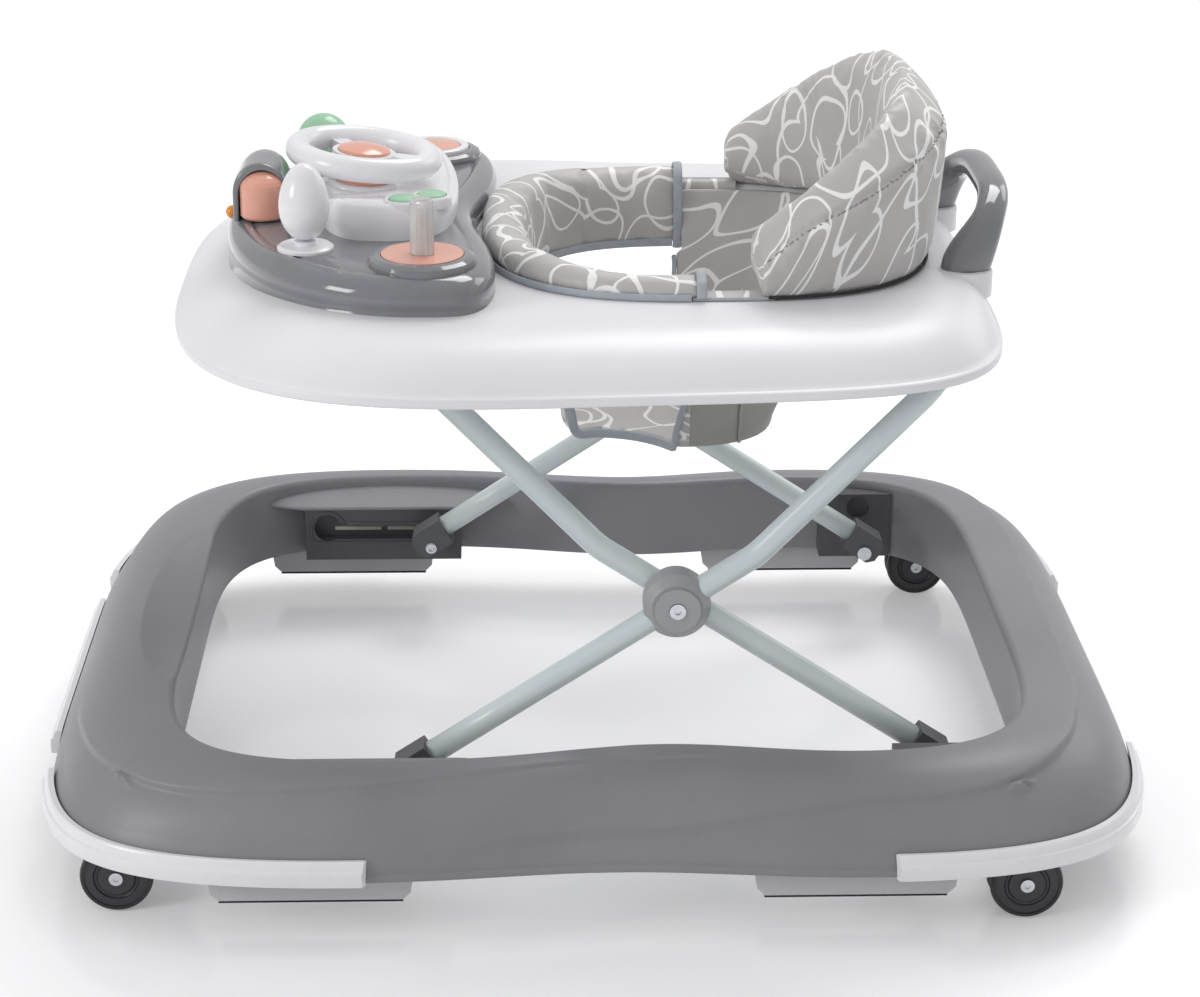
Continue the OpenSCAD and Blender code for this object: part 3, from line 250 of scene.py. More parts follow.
plasticLooks = {  # grain in mm is the size of the tool's texture, depth its height
    "satinGreyBase": {"colour": "#8b8b90", "deep": "#828287", "rough": 0.42, "grain": 0.9, "depth": 0.05, "bump": 0.35,
                      "cloud": 90},
    "satinGreySocket": {"colour": "#6a6a6d", "deep": "#5f5f63", "rough": 0.5, "grain": 0.9, "depth": 0.05},
    "glossWhiteAbs": {"colour": "#eeeef1", "deep": "#e6e6ea", "rough": 0.2, "grain": 2.5, "depth": 0.01, "bump": 0.15},
    "satinWhiteTray": {"colour": "#e9e9ec", "deep": "#e3e3e6", "rough": 0.34, "grain": 0.8, "depth": 0.03, "bump": 0.2,
                       "cloud": 120},
    "satinStopPlastic": {"colour": "#d6d6d9", "deep": "#cbcbcf", "rough": 0.5, "grain": 0.9, "depth": 0.05},
    "satinTrackPlastic": {"colour": "#545458", "deep": "#49494d", "rough": 0.48, "grain": 0.9, "depth": 0.05},
    "satinCapPlastic": {"colour": "#5b5c60", "deep": "#505155", "rough": 0.42, "grain": 0.8, "depth": 0.04},
    "satinCoverPlastic": {"colour": "#a4a5a8", "deep": "#999a9e", "rough": 0.33, "grain": 0.8, "depth": 0.03},
    "paleWearStrip": {"colour": "#cdc8bd", "deep": "#c2bcb0", "rough": 0.5, "grain": 1.0, "depth": 0.02},
    "glossCasterPlastic": {"colour": "#3b3b3e", "deep": "#323235", "rough": 0.3, "grain": 1.0, "depth": 0.02},
    "acetalShoe": {"colour": "#dcd8cc", "deep": "#d2cdc0", "rough": 0.45, "grain": 1.0, "depth": 0.02},
    "glossConsoleGrey": {"colour": "#7f8085", "deep": "#77787d", "rough": 0.1, "grain": 3.0, "depth": 0.012,
                         "bump": 0.12, "coat": 0.4},
    "glossPeach": {"colour": "#e9ab97", "deep": "#e3a18c", "rough": 0.16, "grain": 3.0, "depth": 0.012, "bump": 0.12,
                   "coat": 0.3},
    "glossMint": {"colour": "#a4cfae", "deep": "#98c5a3", "rough": 0.2, "grain": 3.0, "depth": 0.012, "bump": 0.12},
    "glossOrange": {"colour": "#ef9a3a", "deep": "#e58d2c", "rough": 0.22, "grain": 3.0, "depth": 0.012, "bump": 0.12},
}
plastic = {name: mouldedPlastic(name, look) for name, look in plasticLooks.items()}


def powderCoatedTube():
    # Powder-coated steel tube: soft gloss with the orange peel that the melted powder leaves
    material, tree, shader, where = startMaterial("powderCoatedTube", "#d0dadb", 0.3, IOR=1.5)
    shader.inputs["Coat Weight"].default_value = 0.25
    shader.inputs["Coat Roughness"].default_value = 0.15
    cloud = addNode(tree, "ShaderNodeTexNoise", {}, {"Vector": where, "Scale": perMetre(45), "Detail": 3.0})
    # Peel cells of about 1.6 mm
    peel = addNode(tree, "ShaderNodeTexNoise", {}, {"Vector": where, "Scale": perMetre(1.6), "Detail": 1.0})
    patternSurface(tree, shader, cloud.outputs["Fac"], "#c8d4d5", "#d6dfe0", (0.24, 0.38),
                   (peel.outputs["Fac"], 0.25, 0.04))
    return material


def platedSteel():
    # Bright zinc-plated steel: mirror-like, with dulled patches
    material, tree, shader, where = startMaterial("platedSteel", "#cfd1d4", 0.2, Metallic=1.0)
    dull = addNode(tree, "ShaderNodeTexNoise", {}, {"Vector": where, "Scale": perMetre(4), "Detail": 4.0})
    patternSurface(tree, shader, dull.outputs["Fac"], "#b9bcc0", "#dcdee1", (0.12, 0.32))
    return material


def softRubber(name, colour, rough):
    # Thermoplastic rubber: matt and dark, with floor dust caught in a fine skin
    material, tree, shader, where = startMaterial(name, colour, rough, IOR=1.5)
    dust = addNode(tree, "ShaderNodeTexNoise", {}, {"Vector": where, "Scale": perMetre(3), "Detail": 5.0})
    held = addNode(tree, "ShaderNodeMapRange", {},
                   {"Value": dust.outputs["Fac"], "From Min": 0.5, "From Max": 0.8, "To Max": 0.35})
    skin = addNode(tree, "ShaderNodeTexNoise", {}, {"Vector": where, "Scale": perMetre(0.8), "Detail": 2.0})
    patternSurface(tree, shader, held.outputs["Result"], colour, "#57565a", relief=(skin.outputs["Fac"], 0.4, 0.06))
    return material


def clearAcrylic():
    # Clear acrylic with a little haze: the light goes through, and hands have dulled its gloss in places
    material, tree, shader, where = startMaterial("clearAcrylic", "#eeeeec", 0.12, IOR=1.49)
    shader.inputs["Transmission Weight"].default_value = 0.55
    haze = addNode(tree, "ShaderNodeTexNoise", {}, {"Vector": where, "Scale": perMetre(9), "Detail": 2.0})
    patternSurface(tree, shader, haze.outputs["Fac"], "#e2e1de", "#f6f6f5", (0.08, 0.2))
    return material


def threadWave(tree, half, spacing):  # a wave across the threads that run one way, their spacing in mm
    cloth = addNode(tree, "ShaderNodeUVMap", {"uv_map": "cloth"}).outputs["UV"]
    halves = addNode(tree, "ShaderNodeSeparateXYZ", {}, {0: cloth})
    turned = addNode(tree, "ShaderNodeMath", {"operation": "MULTIPLY"},
                     {0: halves.outputs[half], 1: 2 * math.pi / spacing})
    return addNode(tree, "ShaderNodeMath", {"operation": "SINE"}, {0: turned.outputs[0]}).outputs[0]


def plainWeave(tree):  # real threads are 0.3 mm apart; drawn at 1.1 mm so that they show
    weft, warp = threadWave(tree, 0, 1.1), threadWave(tree, 1, 1.1)
    weave = addNode(tree, "ShaderNodeMath", {"operation": "MULTIPLY"}, {0: weft, 1: warp})
    return weave.outputs[0], 0.35, 0.03


def printedPolyester(name, look):
    # Woven polyester with a thin PVC coat, printed with one white line that wanders in loops: satin, wipe-clean
    material, tree, shader, where = startMaterial(name, look["ground"], 0.48, IOR=1.5)
    shader.inputs["Sheen Weight"].default_value = 0.12
    shader.inputs["Sheen Roughness"].default_value = 0.5
    cloth = addNode(tree, "ShaderNodeUVMap", {"uv_map": "cloth"}).outputs["UV"]
    lines = None
    for layer in look["layers"]:
        shifted = addNode(tree, "ShaderNodeVectorMath", {"operation": "ADD"}, {0: cloth, 1: layer["shift"]})
        drift = addNode(tree, "ShaderNodeTexNoise", {"noise_dimensions": "2D"},
                        {"Vector": shifted.outputs[0], "Scale": 1 / layer["bend"], "Detail": 0.0})
        pushed = addNode(tree, "ShaderNodeVectorMath", {"operation": "SUBTRACT"},
                         {0: drift.outputs["Color"], 1: (0.5, 0.5, 0.5)})
        moved = addNode(tree, "ShaderNodeVectorMath", {"operation": "MULTIPLY_ADD"},
                        {0: pushed.outputs[0], 1: (layer["push"],) * 3, 2: shifted.outputs[0]})
        cells = addNode(tree, "ShaderNodeTexVoronoi", {"voronoi_dimensions": "2D", "feature": "F1"},
                        {"Vector": moved.outputs[0], "Scale": 1 / layer["cell"], "Randomness": 0.8})
        away = addNode(tree, "ShaderNodeMath", {"operation": "SUBTRACT"},
                       {0: cells.outputs["Distance"], 1: layer["ring"]})
        size = addNode(tree, "ShaderNodeMath", {"operation": "ABSOLUTE"}, {0: away.outputs[0]})
        thin, wide = (mm / layer["cell"] * 0.5 for mm in (layer["line"], layer["line"] + 0.8))
        inked = addNode(tree, "ShaderNodeMapRange", {},
                        {"Value": size.outputs[0], "From Min": thin, "From Max": wide, "To Min": 1.0, "To Max": 0.0})
        ink = inked.outputs["Result"]
        if lines is not None:
            ink = addNode(tree, "ShaderNodeMath", {"operation": "MAXIMUM"}, {0: lines, 1: ink}).outputs[0]
        lines = ink
    cloud = addNode(tree, "ShaderNodeTexNoise", {}, {"Vector": where, "Scale": perMetre(30), "Detail": 3.0})
    ground = addNode(tree, "ShaderNodeMix", {"data_type": "RGBA"},
                     {0: cloud.outputs["Fac"], 6: linearFrom(look["deep"]), 7: linearFrom(look["ground"])})
    patternSurface(tree, shader, lines, ground.outputs[2], look["ink"], relief=plainWeave(tree))
    return material


printLook = {
    "ground": "#bebcba", "deep": "#b3b1af", "ink": "#f2f1f0",
    "layers": [
        {"shift": (0.0, 0.0, 0.0), "bend": 40.0, "push": 26.0, "cell": 50.0, "ring": 0.38, "line": 2.6},
        {"shift": (410.0, 170.0, 0.0), "bend": 52.0, "push": 44.0, "cell": 74.0, "ring": 0.42, "line": 2.6},
    ],
}


def grosgrain():
    # Ribbed polyester binding tape: dull grey-blue, with weft ribs across its width.
    # Real ribs are about 1 mm apart; drawn at 1.4 mm so that they show
    material, tree, shader, where = startMaterial("grosgrain", "#a6adb5", 0.62, IOR=1.5)
    shader.inputs["Sheen Weight"].default_value = 0.2
    cloud = addNode(tree, "ShaderNodeTexNoise", {}, {"Vector": where, "Scale": perMetre(7), "Detail": 3.0})
    patternSurface(tree, shader, cloud.outputs["Fac"], "#9ba2ab", "#b2b8bf",
                   relief=(threadWave(tree, 0, 1.4), 0.5, 0.12))
    return material


def liningCloth():
    # Plain coated polyester lining: grey-green, smooth and faintly woven
    material, tree, shader, where = startMaterial("liningCloth", "#9fa09a", 0.5, IOR=1.5)
    cloud = addNode(tree, "ShaderNodeTexNoise", {}, {"Vector": where, "Scale": perMetre(25), "Detail": 3.0})
    patternSurface(tree, shader, cloud.outputs["Fac"], "#979890", "#a5a6a0", relief=plainWeave(tree))
    return material


def spunThread():
    # Spun polyester sewing thread: matt, and darker than the cloth that it sews
    material, tree, shader, where = startMaterial("spunThread", "#8e8e91", 0.8, IOR=1.5)
    twist = addNode(tree, "ShaderNodeTexNoise", {}, {"Vector": where, "Scale": perMetre(1.2), "Detail": 2.0})
    patternSurface(tree, shader, twist.outputs["Fac"], "#7c7c80", "#9e9ea1")
    return material


tubePaint, steel, acrylic = powderCoatedTube(), platedSteel(), clearAcrylic()
tyreRubber = softRubber("tyreRubber", "#2b2b2d", 0.55)
stripRubber = softRubber("stripRubber", "#1f1f21", 0.7)
seatPrint = printedPolyester("printedPolyester", printLook)
tape, lining, thread = grosgrain(), liningCloth(), spunThread()
print("materials made")

casters = ("front_left", "front_right", "rear_left", "rear_right")
partFinishes = (  # parts of the construction that show as they are, by finish
    (plastic["satinGreySocket"], ["caster_sockets"]),
    (plastic["satinStopPlastic"], ["stop_blocks", "height_rack", "bar_clamps"]),
    (plastic["satinTrackPlastic"], ["slot_tracks", "pivot_brackets"]),
    (plastic["satinCoverPlastic"], ["hub_inner_covers", "hub_outer_covers", "height_latch"]),
    (plastic["satinCapPlastic"], ["rear_end_caps", "front_end_caps"]),
    (plastic["acetalShoe"], ["slider_shoe_left", "slider_shoe_right"]),
    (plastic["glossPeach"], ["steering_column", "horn_button", "near_pod_disc", "tower_drum"]),
    (plastic["glossWhiteAbs"], ["steering_wheel", "egg_toy", "egg_stand"]),
    (plastic["glossMint"], ["mirror_dome"]),
    (plastic["glossConsoleGrey"], ["pod_rings"]),
    (plastic["glossOrange"], ["orange_knob"]),
    (plastic["glossCasterPlastic"], [kind + corner for kind in ("yoke_", "wheels_") for corner in casters]),
    (tyreRubber, ["tyres_" + corner for corner in casters]),
    (steel, ["pivot_pins", "hub_bolts"] + ["axle_" + corner for corner in casters]),
    (stripRubber, ["stop_strips"]),
    (acrylic, ["pod_roller"]),
)
edgeRadius = {"height_latch": 0.8, "stop_blocks": 1.5, "slot_tracks": 0.8, "pivot_brackets": 0.8, "rear_end_caps": 1.6,
              "front_end_caps": 1.6, "hub_inner_covers": 1.2, "hub_outer_covers": 1.6, "height_rack": 0.8,
              "bar_clamps": 1.0}
for finish, name in [(finish, name) for finish, names in partFinishes for name in names]:
    part = nodes[name]
    coverWith(part, finish)
    soft = part.modifiers.new("edges", "BEVEL")  # moulded edges are never knife-sharp
    soft.width, soft.segments, soft.limit_method = edgeRadius.get(name, 0.4) / 1000, 2, "ANGLE"
    soft.angle_limit = math.radians(35)
    soft.harden_normals = True
print("CAD parts finished")

base = {"length": 736.0, "width": 630.0, "top": 107.0, "low": 46.0, "frontRail": 84.0, "rearRail": 77.0,
        "sideRail": 57.0, "waist": 13.0, "scoopDepth": 10.5, "creaseLift": 3.8, "edge": 5.0, "rows": 440, "wall": 3.0,
        "scoopMiddle": 4.0, "scoopHalf": 134.0, "scoopReach": 0.43}
baseA, baseB = base["length"] / 2, base["width"] / 2
innerCx = (base["frontRail"] - base["rearRail"]) / 2
innerA, innerB = baseA - (base["frontRail"] + base["rearRail"]) / 2, baseB - base["sideRail"]


def ringOuter(u):
    p = superPoint(u, 0, baseA, baseB, 5.2)
    p[..., 1] *= 1 - base["waist"] * bell(p[..., 0], 12, 110) / baseB
    return p


def ringInner(u):
    p = superPoint(u, innerCx, innerA, innerB, 5.8)
    p[..., 1] *= 1 - 0.02 * p[..., 0] / innerA - 1.5 * base["waist"] * bell(p[..., 0], 40, 90) / innerB
    return p


# Share of the rail's width at which each flowing line runs, against the ring's plan angle from the front
frontLine = ([0, 2, 5, 17, 28, 40, 57, 68, 78, 84, 86, 89, 91.5, 96],
             [0.98, 0.96, 0.81, 0.72, 0.67, 0.64, 0.64, 0.61, 0.55, 0.49, 0.46, 0.37, 0.22, 0.14])
rearLine = ([82, 86, 89, 91, 93, 97, 100, 111, 124, 142, 160, 172, 180],
            [1.0, 0.99, 0.95, 0.87, 0.80, 0.73, 0.70, 0.68, 0.61, 0.50, 0.47, 0.50, 0.52])


def skinDrop(t):
    return 1 - (1 - np.clip(t, 0, 1) ** 3) ** 0.625


def crease(t, width, at, fade, reach, ease, edge):  # step in the skin along a flowing line, which dies away past it
    lifted = base["creaseLift"] * fade * smoothStep((t - at) * width, -1.4, 1.9)
    return lifted * (1 - smoothStep(t, at + 0.05, at + reach) * ease) * np.clip((1 - t) / edge, 0, 1)


def baseSection(u):
    inner, outer = ringInner(np.array([u]))[0], ringOuter(np.array([u]))[0]
    width = np.linalg.norm(outer - inner)
    along = (outer - inner) / width
    rise = base["top"] - base["low"]
    turn = abs(math.degrees(math.atan2(math.sin(u), -math.cos(u))))  # 0 at the front, 180 at the rear
    t = np.concatenate([np.linspace(0.012, 0.9, 128), np.linspace(0.905, 0.996, 24)])
    z = base["top"] - rise * skinDrop(t)
    slopeT = np.gradient(z, t * width)
    fade = smoothStep(turn, 2, 16) * (1 - smoothStep(turn, 84, 95))
    push = crease(t, width, np.interp(turn, *frontLine), fade, 0.42, 0.75, 0.08)
    push = push + crease(t, width, np.interp(turn, *rearLine), smoothStep(turn, 83, 93), 0.45, 0.7, 0.06)
    norm = np.sqrt(1 + slopeT ** 2)
    s = t * width - push * (-slopeT / norm)
    z = z - push / norm
    edgeDrop = 0.0
    if inner[0] < 0:  # the crescent cut into the front rail
        across = (inner[1] - base["scoopMiddle"]) / base["scoopHalf"]
        if abs(across) < 1 and inner[0] < -200:
            reach = base["scoopReach"] * math.sqrt(1 - across ** 2)
            edgeDrop = base["scoopDepth"] * (1 - across ** 2) ** 0.7
            z = z - edgeDrop * np.clip(1 - (t / max(reach, 0.02)) ** 2.4, 0, 1)
    top, low, wall = base["top"] - edgeDrop, base["low"], base["wall"]
    bend = np.linspace(0, math.pi / 2, 7)
    r = base["edge"] * (0.55 if edgeDrop > 1 else 1)
    fillet = [(r * (1 - math.cos(a)), top - r + r * math.sin(a)) for a in bend]
    wallLine = [(0.0, low + 2), (0.0, low + 12), (0.0, (low + top - r) / 2), (0.0, top - r - 0.5)]
    outside = [(q, w) for q, w in zip(s, z) if q > r * 1.02]
    foot = [(width - 1.6, low + 5.0), (width - 1.4, low + 4.2), (width, low + 3.9), (width, low + 0.6),
            (width - 0.5, low)]
    outside = [(min(q, width - 1.6), w) for q, w in outside if w > low + 5.4]
    under = [(width - wall, low), (width - 4.5, low + 4)]
    inside = [(q - 0.4 * (q / width) * 6, max(w - wall, low + 5)) for q, w in outside[::-7]]
    closing = [(wall, top - r - 4), (wall, low + 12), (wall, low), (0.5, low)]
    return [wallLine, fillet, outside, foot, under, inside, closing], inner, along


def buildBase():
    rows = []
    for u in evenAngles(lambda a: (ringOuter(a) + ringInner(a)) / 2, base["rows"]):
        parts, inner, along = baseSection(u)
        line = []
        for part, count in zip(parts, (10, 7, 116, 5, 2, 20, 8)):  # every section gets the same number of points
            part = np.array(part)
            run = runAlong(part)
            line.append(sampled(part, run, np.linspace(0, run[-1], count)))
        rows.append(standUp(np.concatenate(line), inner, along))
    rows = np.array(rows)
    for _ in range(3):  # evens out the run of the sections round the ring
        rows = (np.roll(rows, 1, 0) + 2 * rows + np.roll(rows, -1, 0)) / 4
    under = surfaceOf(nodes["caster_sockets"])
    coverGap, coverSteps = 0.0004, (-0.004, 0, 0.004)  # metres above the sockets, and to each side of a point
    for i, j in np.argwhere(rows[..., 2] > 62):  # the skin always covers the caster sockets below it
        x, y, z = rows[i, j] / 1000
        spots = [(x + dx, y + dy, 0.2) for dx in coverSteps for dy in coverSteps]
        hits = [under.ray_cast(Vector(spot), Vector((0, 0, -1)))[0] for spot in spots]
        need = max([h.z + coverGap for h in hits if h is not None] + [0])
        if 0 < need - z < 0.006:
            rows[i, j, 2] = need * 1000
    piece = loftPiece("baseRing", rows, plastic["satinGreyBase"], ends="joined", sharpAngle=40)
    ridesOn(piece, "base", ["base_shell"])


buildBase()
print("base ring built")

tray = {"length": 548.0, "width": 532.0, "deck": 378.0, "rim": 345.0, "wall": 2.8, "centre": -6.0, "taper": 0.062,
        "slope": 95.0, "holeCentre": 78.0, "holeLength": 272.0, "holeWidth": 280.0, "postX": 248.0, "postY": 82.0,
        "socketRadius": 18.5}


def trayEdge(u):
    u = np.asarray(u, float)
    p = superPoint(u, tray["centre"], tray["length"] / 2, tray["width"] / 2, np.where(np.cos(u) < 0, 3.0, 5.1))
    p[..., 1] *= 1 - tray["taper"] * p[..., 0] / (tray["length"] / 2)
    return p


def holeEdge(u, grow=0.0):
    return superPoint(np.asarray(u, float), tray["holeCentre"], tray["holeLength"] / 2 + grow,
                      tray["holeWidth"] / 2 + grow, 2.8)


def traySection(width):
    rim, deck, wall = tray["rim"], tray["deck"], tray["wall"]
    run, lip = min(tray["slope"], 0.62 * width), rim + 7
    k = np.linspace(0, 1, 30)
    top = [(4 + (run - 4) * q, lip + (deck - lip) * (1 - (1 - q) ** 2.7)) for q in k]
    lipEdge = [(1.0, rim), (0.2, rim + 0.5), (0.0, rim + 1.4), (0.0, rim + 4.6), (0.3, rim + 5.4), (1.2, rim + 6.1),
               (2.6, rim + 6.6)]
    flat = [(run + (width - 6 - run) * q, deck) for q in (0.25, 0.5, 0.75, 1)]
    edge = [(width - 6 + 5.6 * math.sin(a), deck - 5.6 + 5.6 * math.cos(a)) for a in np.linspace(0.2, math.pi / 2, 6)]
    under = [(width - 0.4, deck - 14), (width - wall, deck - 14), (width - wall, deck - 5), (width - 6, deck - 3),
             (run, deck - 2.9)]
    back = [(q + 1.0, z - wall) for q, z in top[26:1:-4]]
    return np.array(lipEdge + top + flat + edge + under + back + [(4.4, lip - wall), (wall, rim + 2), (wall, rim)])


def buildTray():
    rows = []
    for u in evenAngles(trayEdge, 340):
        pr, ph = trayEdge(u), holeEdge(u)
        width = np.linalg.norm(ph - pr)
        along = (ph - pr) / width
        rows.append(standUp(traySection(width), pr, along))
    ridesOn(loftPiece("trayTop", rows, plastic["satinWhiteTray"], ends="joined", sharpAngle=50),
            "tray", ["tray_shell"])
    for name, side in (("Left", -1), ("Right", 1)):
        r, top = tray["socketRadius"], tray["deck"] + 1
        profile = [(r, 361.5), (r, top - 1.6), (r - 0.5, top - 0.5), (r - 1.6, top), (13.0, top), (12.6, top - 0.6),
                   (12.0, top - 3)]
        socket = loftPiece("postSocket" + name, lathe(profile, (tray["postX"], side * tray["postY"], 0)),
                           plastic["satinWhiteTray"], sharpAngle=40)
        ridesOn(socket, "tray", [])


buildTray()
trayTree = surfaceOf(bpy.data.objects["trayTop"])
print("tray built")


def trayHeight(x, y):  # height in mm of the tray's top at a plan point
    hit = trayTree.ray_cast(Vector((x / 1000, y / 1000, 1)), Vector((0, 0, -1)))[0]
    return hit.z * 1000 if hit else tray["deck"]


bumper = {"low": 45.0, "height": 17.0, "thick": 5.5}


def skinBack(width, rise):  # how far inside the outer edge the ring's skin stands at a height above its foot
    t = max(0.0, 1 - (max(0.0, rise) / (base["top"] - base["low"])) ** 1.6) ** (1 / 3)
    return width * (1 - t)


def bumperStrip(name, u0, u1, count):
    rows = []
    fine = np.linspace(u0, u1, 4001)
    run = runAlong(ringOuter(fine))
    for u in np.interp(np.linspace(0, run[-1], count), run, fine):
        inner, outer = ringInner(np.array([u]))[0], ringOuter(np.array([u]))[0]
        width = np.linalg.norm(outer - inner)
        along = (outer - inner) / width
        low, h, t = bumper["low"], bumper["height"], bumper["thick"]
        end = min(1.0, min(u - u0, u1 - u) / 0.004 * 0.5 + 0.55)  # the last millimetres are rounded off
        line = [(0.5, low), (t - 1.2, low), (t - 0.3, low + 0.4), (t, low + 1.4), (t, low + h * 0.5),
                (t, low + h * 0.58), (t - 0.35, low + h * 0.62), (t - 1.2, low + h * 0.64),
                (t - 1.9, low + h * 0.67), (t - 2.3, low + h * 0.75), (t - 2.9, low + h * 0.88),
                (t - 3.6, low + h * 0.96), (t - 4.6, low + h),
                (0.4 - skinBack(width, low + h - 1 - base["low"]), low + h - 0.2),
                (0.35 - skinBack(width, low + h * 0.5 - base["low"]), low + h * 0.5)]
        rows.append(standUp([(s, low + (z - low) * (0.94 + 0.06 * end)) for s, z in line], outer, along))
    return loftPiece(name, rows, plastic["glossWhiteAbs"], sharpAngle=35)


def angleForY(y):
    return math.asin((y / baseB) ** 2.6)


def angleForX(x):
    return math.acos((x / baseA) ** 2.6)


def buildBumpers():
    rearStrip, frontStrip = (angleForY(150), angleForX(187)), (math.pi - angleForX(148), math.pi - angleForY(175))
    for name, (u0, u1) in (("bumperRearRight", rearStrip), ("bumperFrontRight", frontStrip),
                           ("bumperRearLeft", (-rearStrip[1], -rearStrip[0])),
                           ("bumperFrontLeft", (-frontStrip[1], -frontStrip[0]))):
        ridesOn(bumperStrip(name, u0, u1, 150), "base", ["corner_bumpers"])
    a = angleForY(118)
    ridesOn(bumperStrip("bumperFront", math.pi - a, math.pi + a, 60), "base", ["front_bumper"])


buildBumpers()
print("bumpers built")

arms = {"hubX": 51.5, "hubZ": 190.0, "rearX": 222.0, "footX": -119.0, "pivotZ": 70.0, "innerY": 188.0, "outerY": 205.0,
        "barZ": 352.0, "bend": 61.0, "elbow": 55.0, "corner": 35.0, "slope": 46.0, "drop": 6.5, "radius": 8.0}


def armPath(y, sign):  # whole U of one arm, from its left foot over the cross bar to its right foot
    reach = math.hypot(arms["rearX"] - arms["hubX"], arms["hubZ"] - arms["pivotZ"])
    low = math.atan2(arms["hubZ"] - arms["pivotZ"], arms["rearX"] - arms["hubX"]) - math.asin(arms["drop"] / reach)
    high = math.radians(arms["slope"])
    start = math.sqrt(reach ** 2 - arms["drop"] ** 2) - 7
    knee = np.array([arms["bend"] * math.cos(low), 0, arms["bend"] * math.sin(low)])
    d0, d1 = np.array([math.cos(low), 0, math.sin(low)]), np.array([math.cos(high), 0, math.sin(high)])
    n0 = np.array([-math.sin(low), 0, math.cos(low)])
    top = knee + d1 * (arms["barZ"] - arms["hubZ"] - knee[2]) / math.sin(high)
    elbowStart = knee - d0 * arms["elbow"] * math.tan((high - low) / 2)
    pts = [-start * d0] + [-start * d0 * (1 - k) + elbowStart * k for k in (0.25, 0.5, 0.75)]
    for k in np.linspace(0, 1, 7):
        a = (high - low) * k
        pts.append(elbowStart + arms["elbow"] * (math.sin(a) * d0 + (1 - math.cos(a)) * n0))
    pts += [pts[-1] * (1 - k) + (top - d1 * arms["corner"]) * k for k in (0.33, 0.66)]
    half = [p + np.array([0, y, 0]) for p in pts]
    for k in np.linspace(0, math.pi / 2, 13):
        turned = math.sin(k) * d1 + (1 - math.cos(k)) * np.array([0, -1, 0])
        half.append(top + np.array([0, y, 0]) - d1 * arms["corner"] + arms["corner"] * turned)
    half = np.array(half)
    other = half[::-1] * [1, -1, 1]
    path = np.concatenate([half, other]) * [sign, 1, 1]
    return path + [arms["hubX"], 0, arms["hubZ"]]


def buildArms():
    for name, node, y, sign, body in (("rearArm", "rear_arm_tube", arms["innerY"], -1, "rear_arm"),
                                      ("frontArm", "front_arm_tube", arms["outerY"], 1, "front_arm")):
        ridesOn(sweepTube(name, armPath(y, sign), arms["radius"], tubePaint, sides=40), body, [node])
    for side in (-1, 1):  # a cross-recessed screw closes each front cap
        y = side * (arms["outerY"] - 10.0)
        ring = lathe([(0.05, 0.6), (1.6, 0.6), (1.9, 1.5), (3.0, 1.9), (4.2, 1.6), (4.8, 0.9), (4.9, 0.0)], sides=32)
        ring = np.stack([ring[..., 0] + arms["footX"], y - side * ring[..., 2], ring[..., 1] + arms["pivotZ"]], -1)
        screw = loftPiece("capScrew" + ("Left" if side < 0 else "Right"), ring, steel, sharpAngle=35)
        ridesOn(screw, "front_arm", [])


buildArms()
print("frame tubes built")

track = {"face": 229.0, "slotRear": -106.0, "slotFront": -208.0, "slotHalf": 5.5, "key": 11.0, "backing": 240.0}


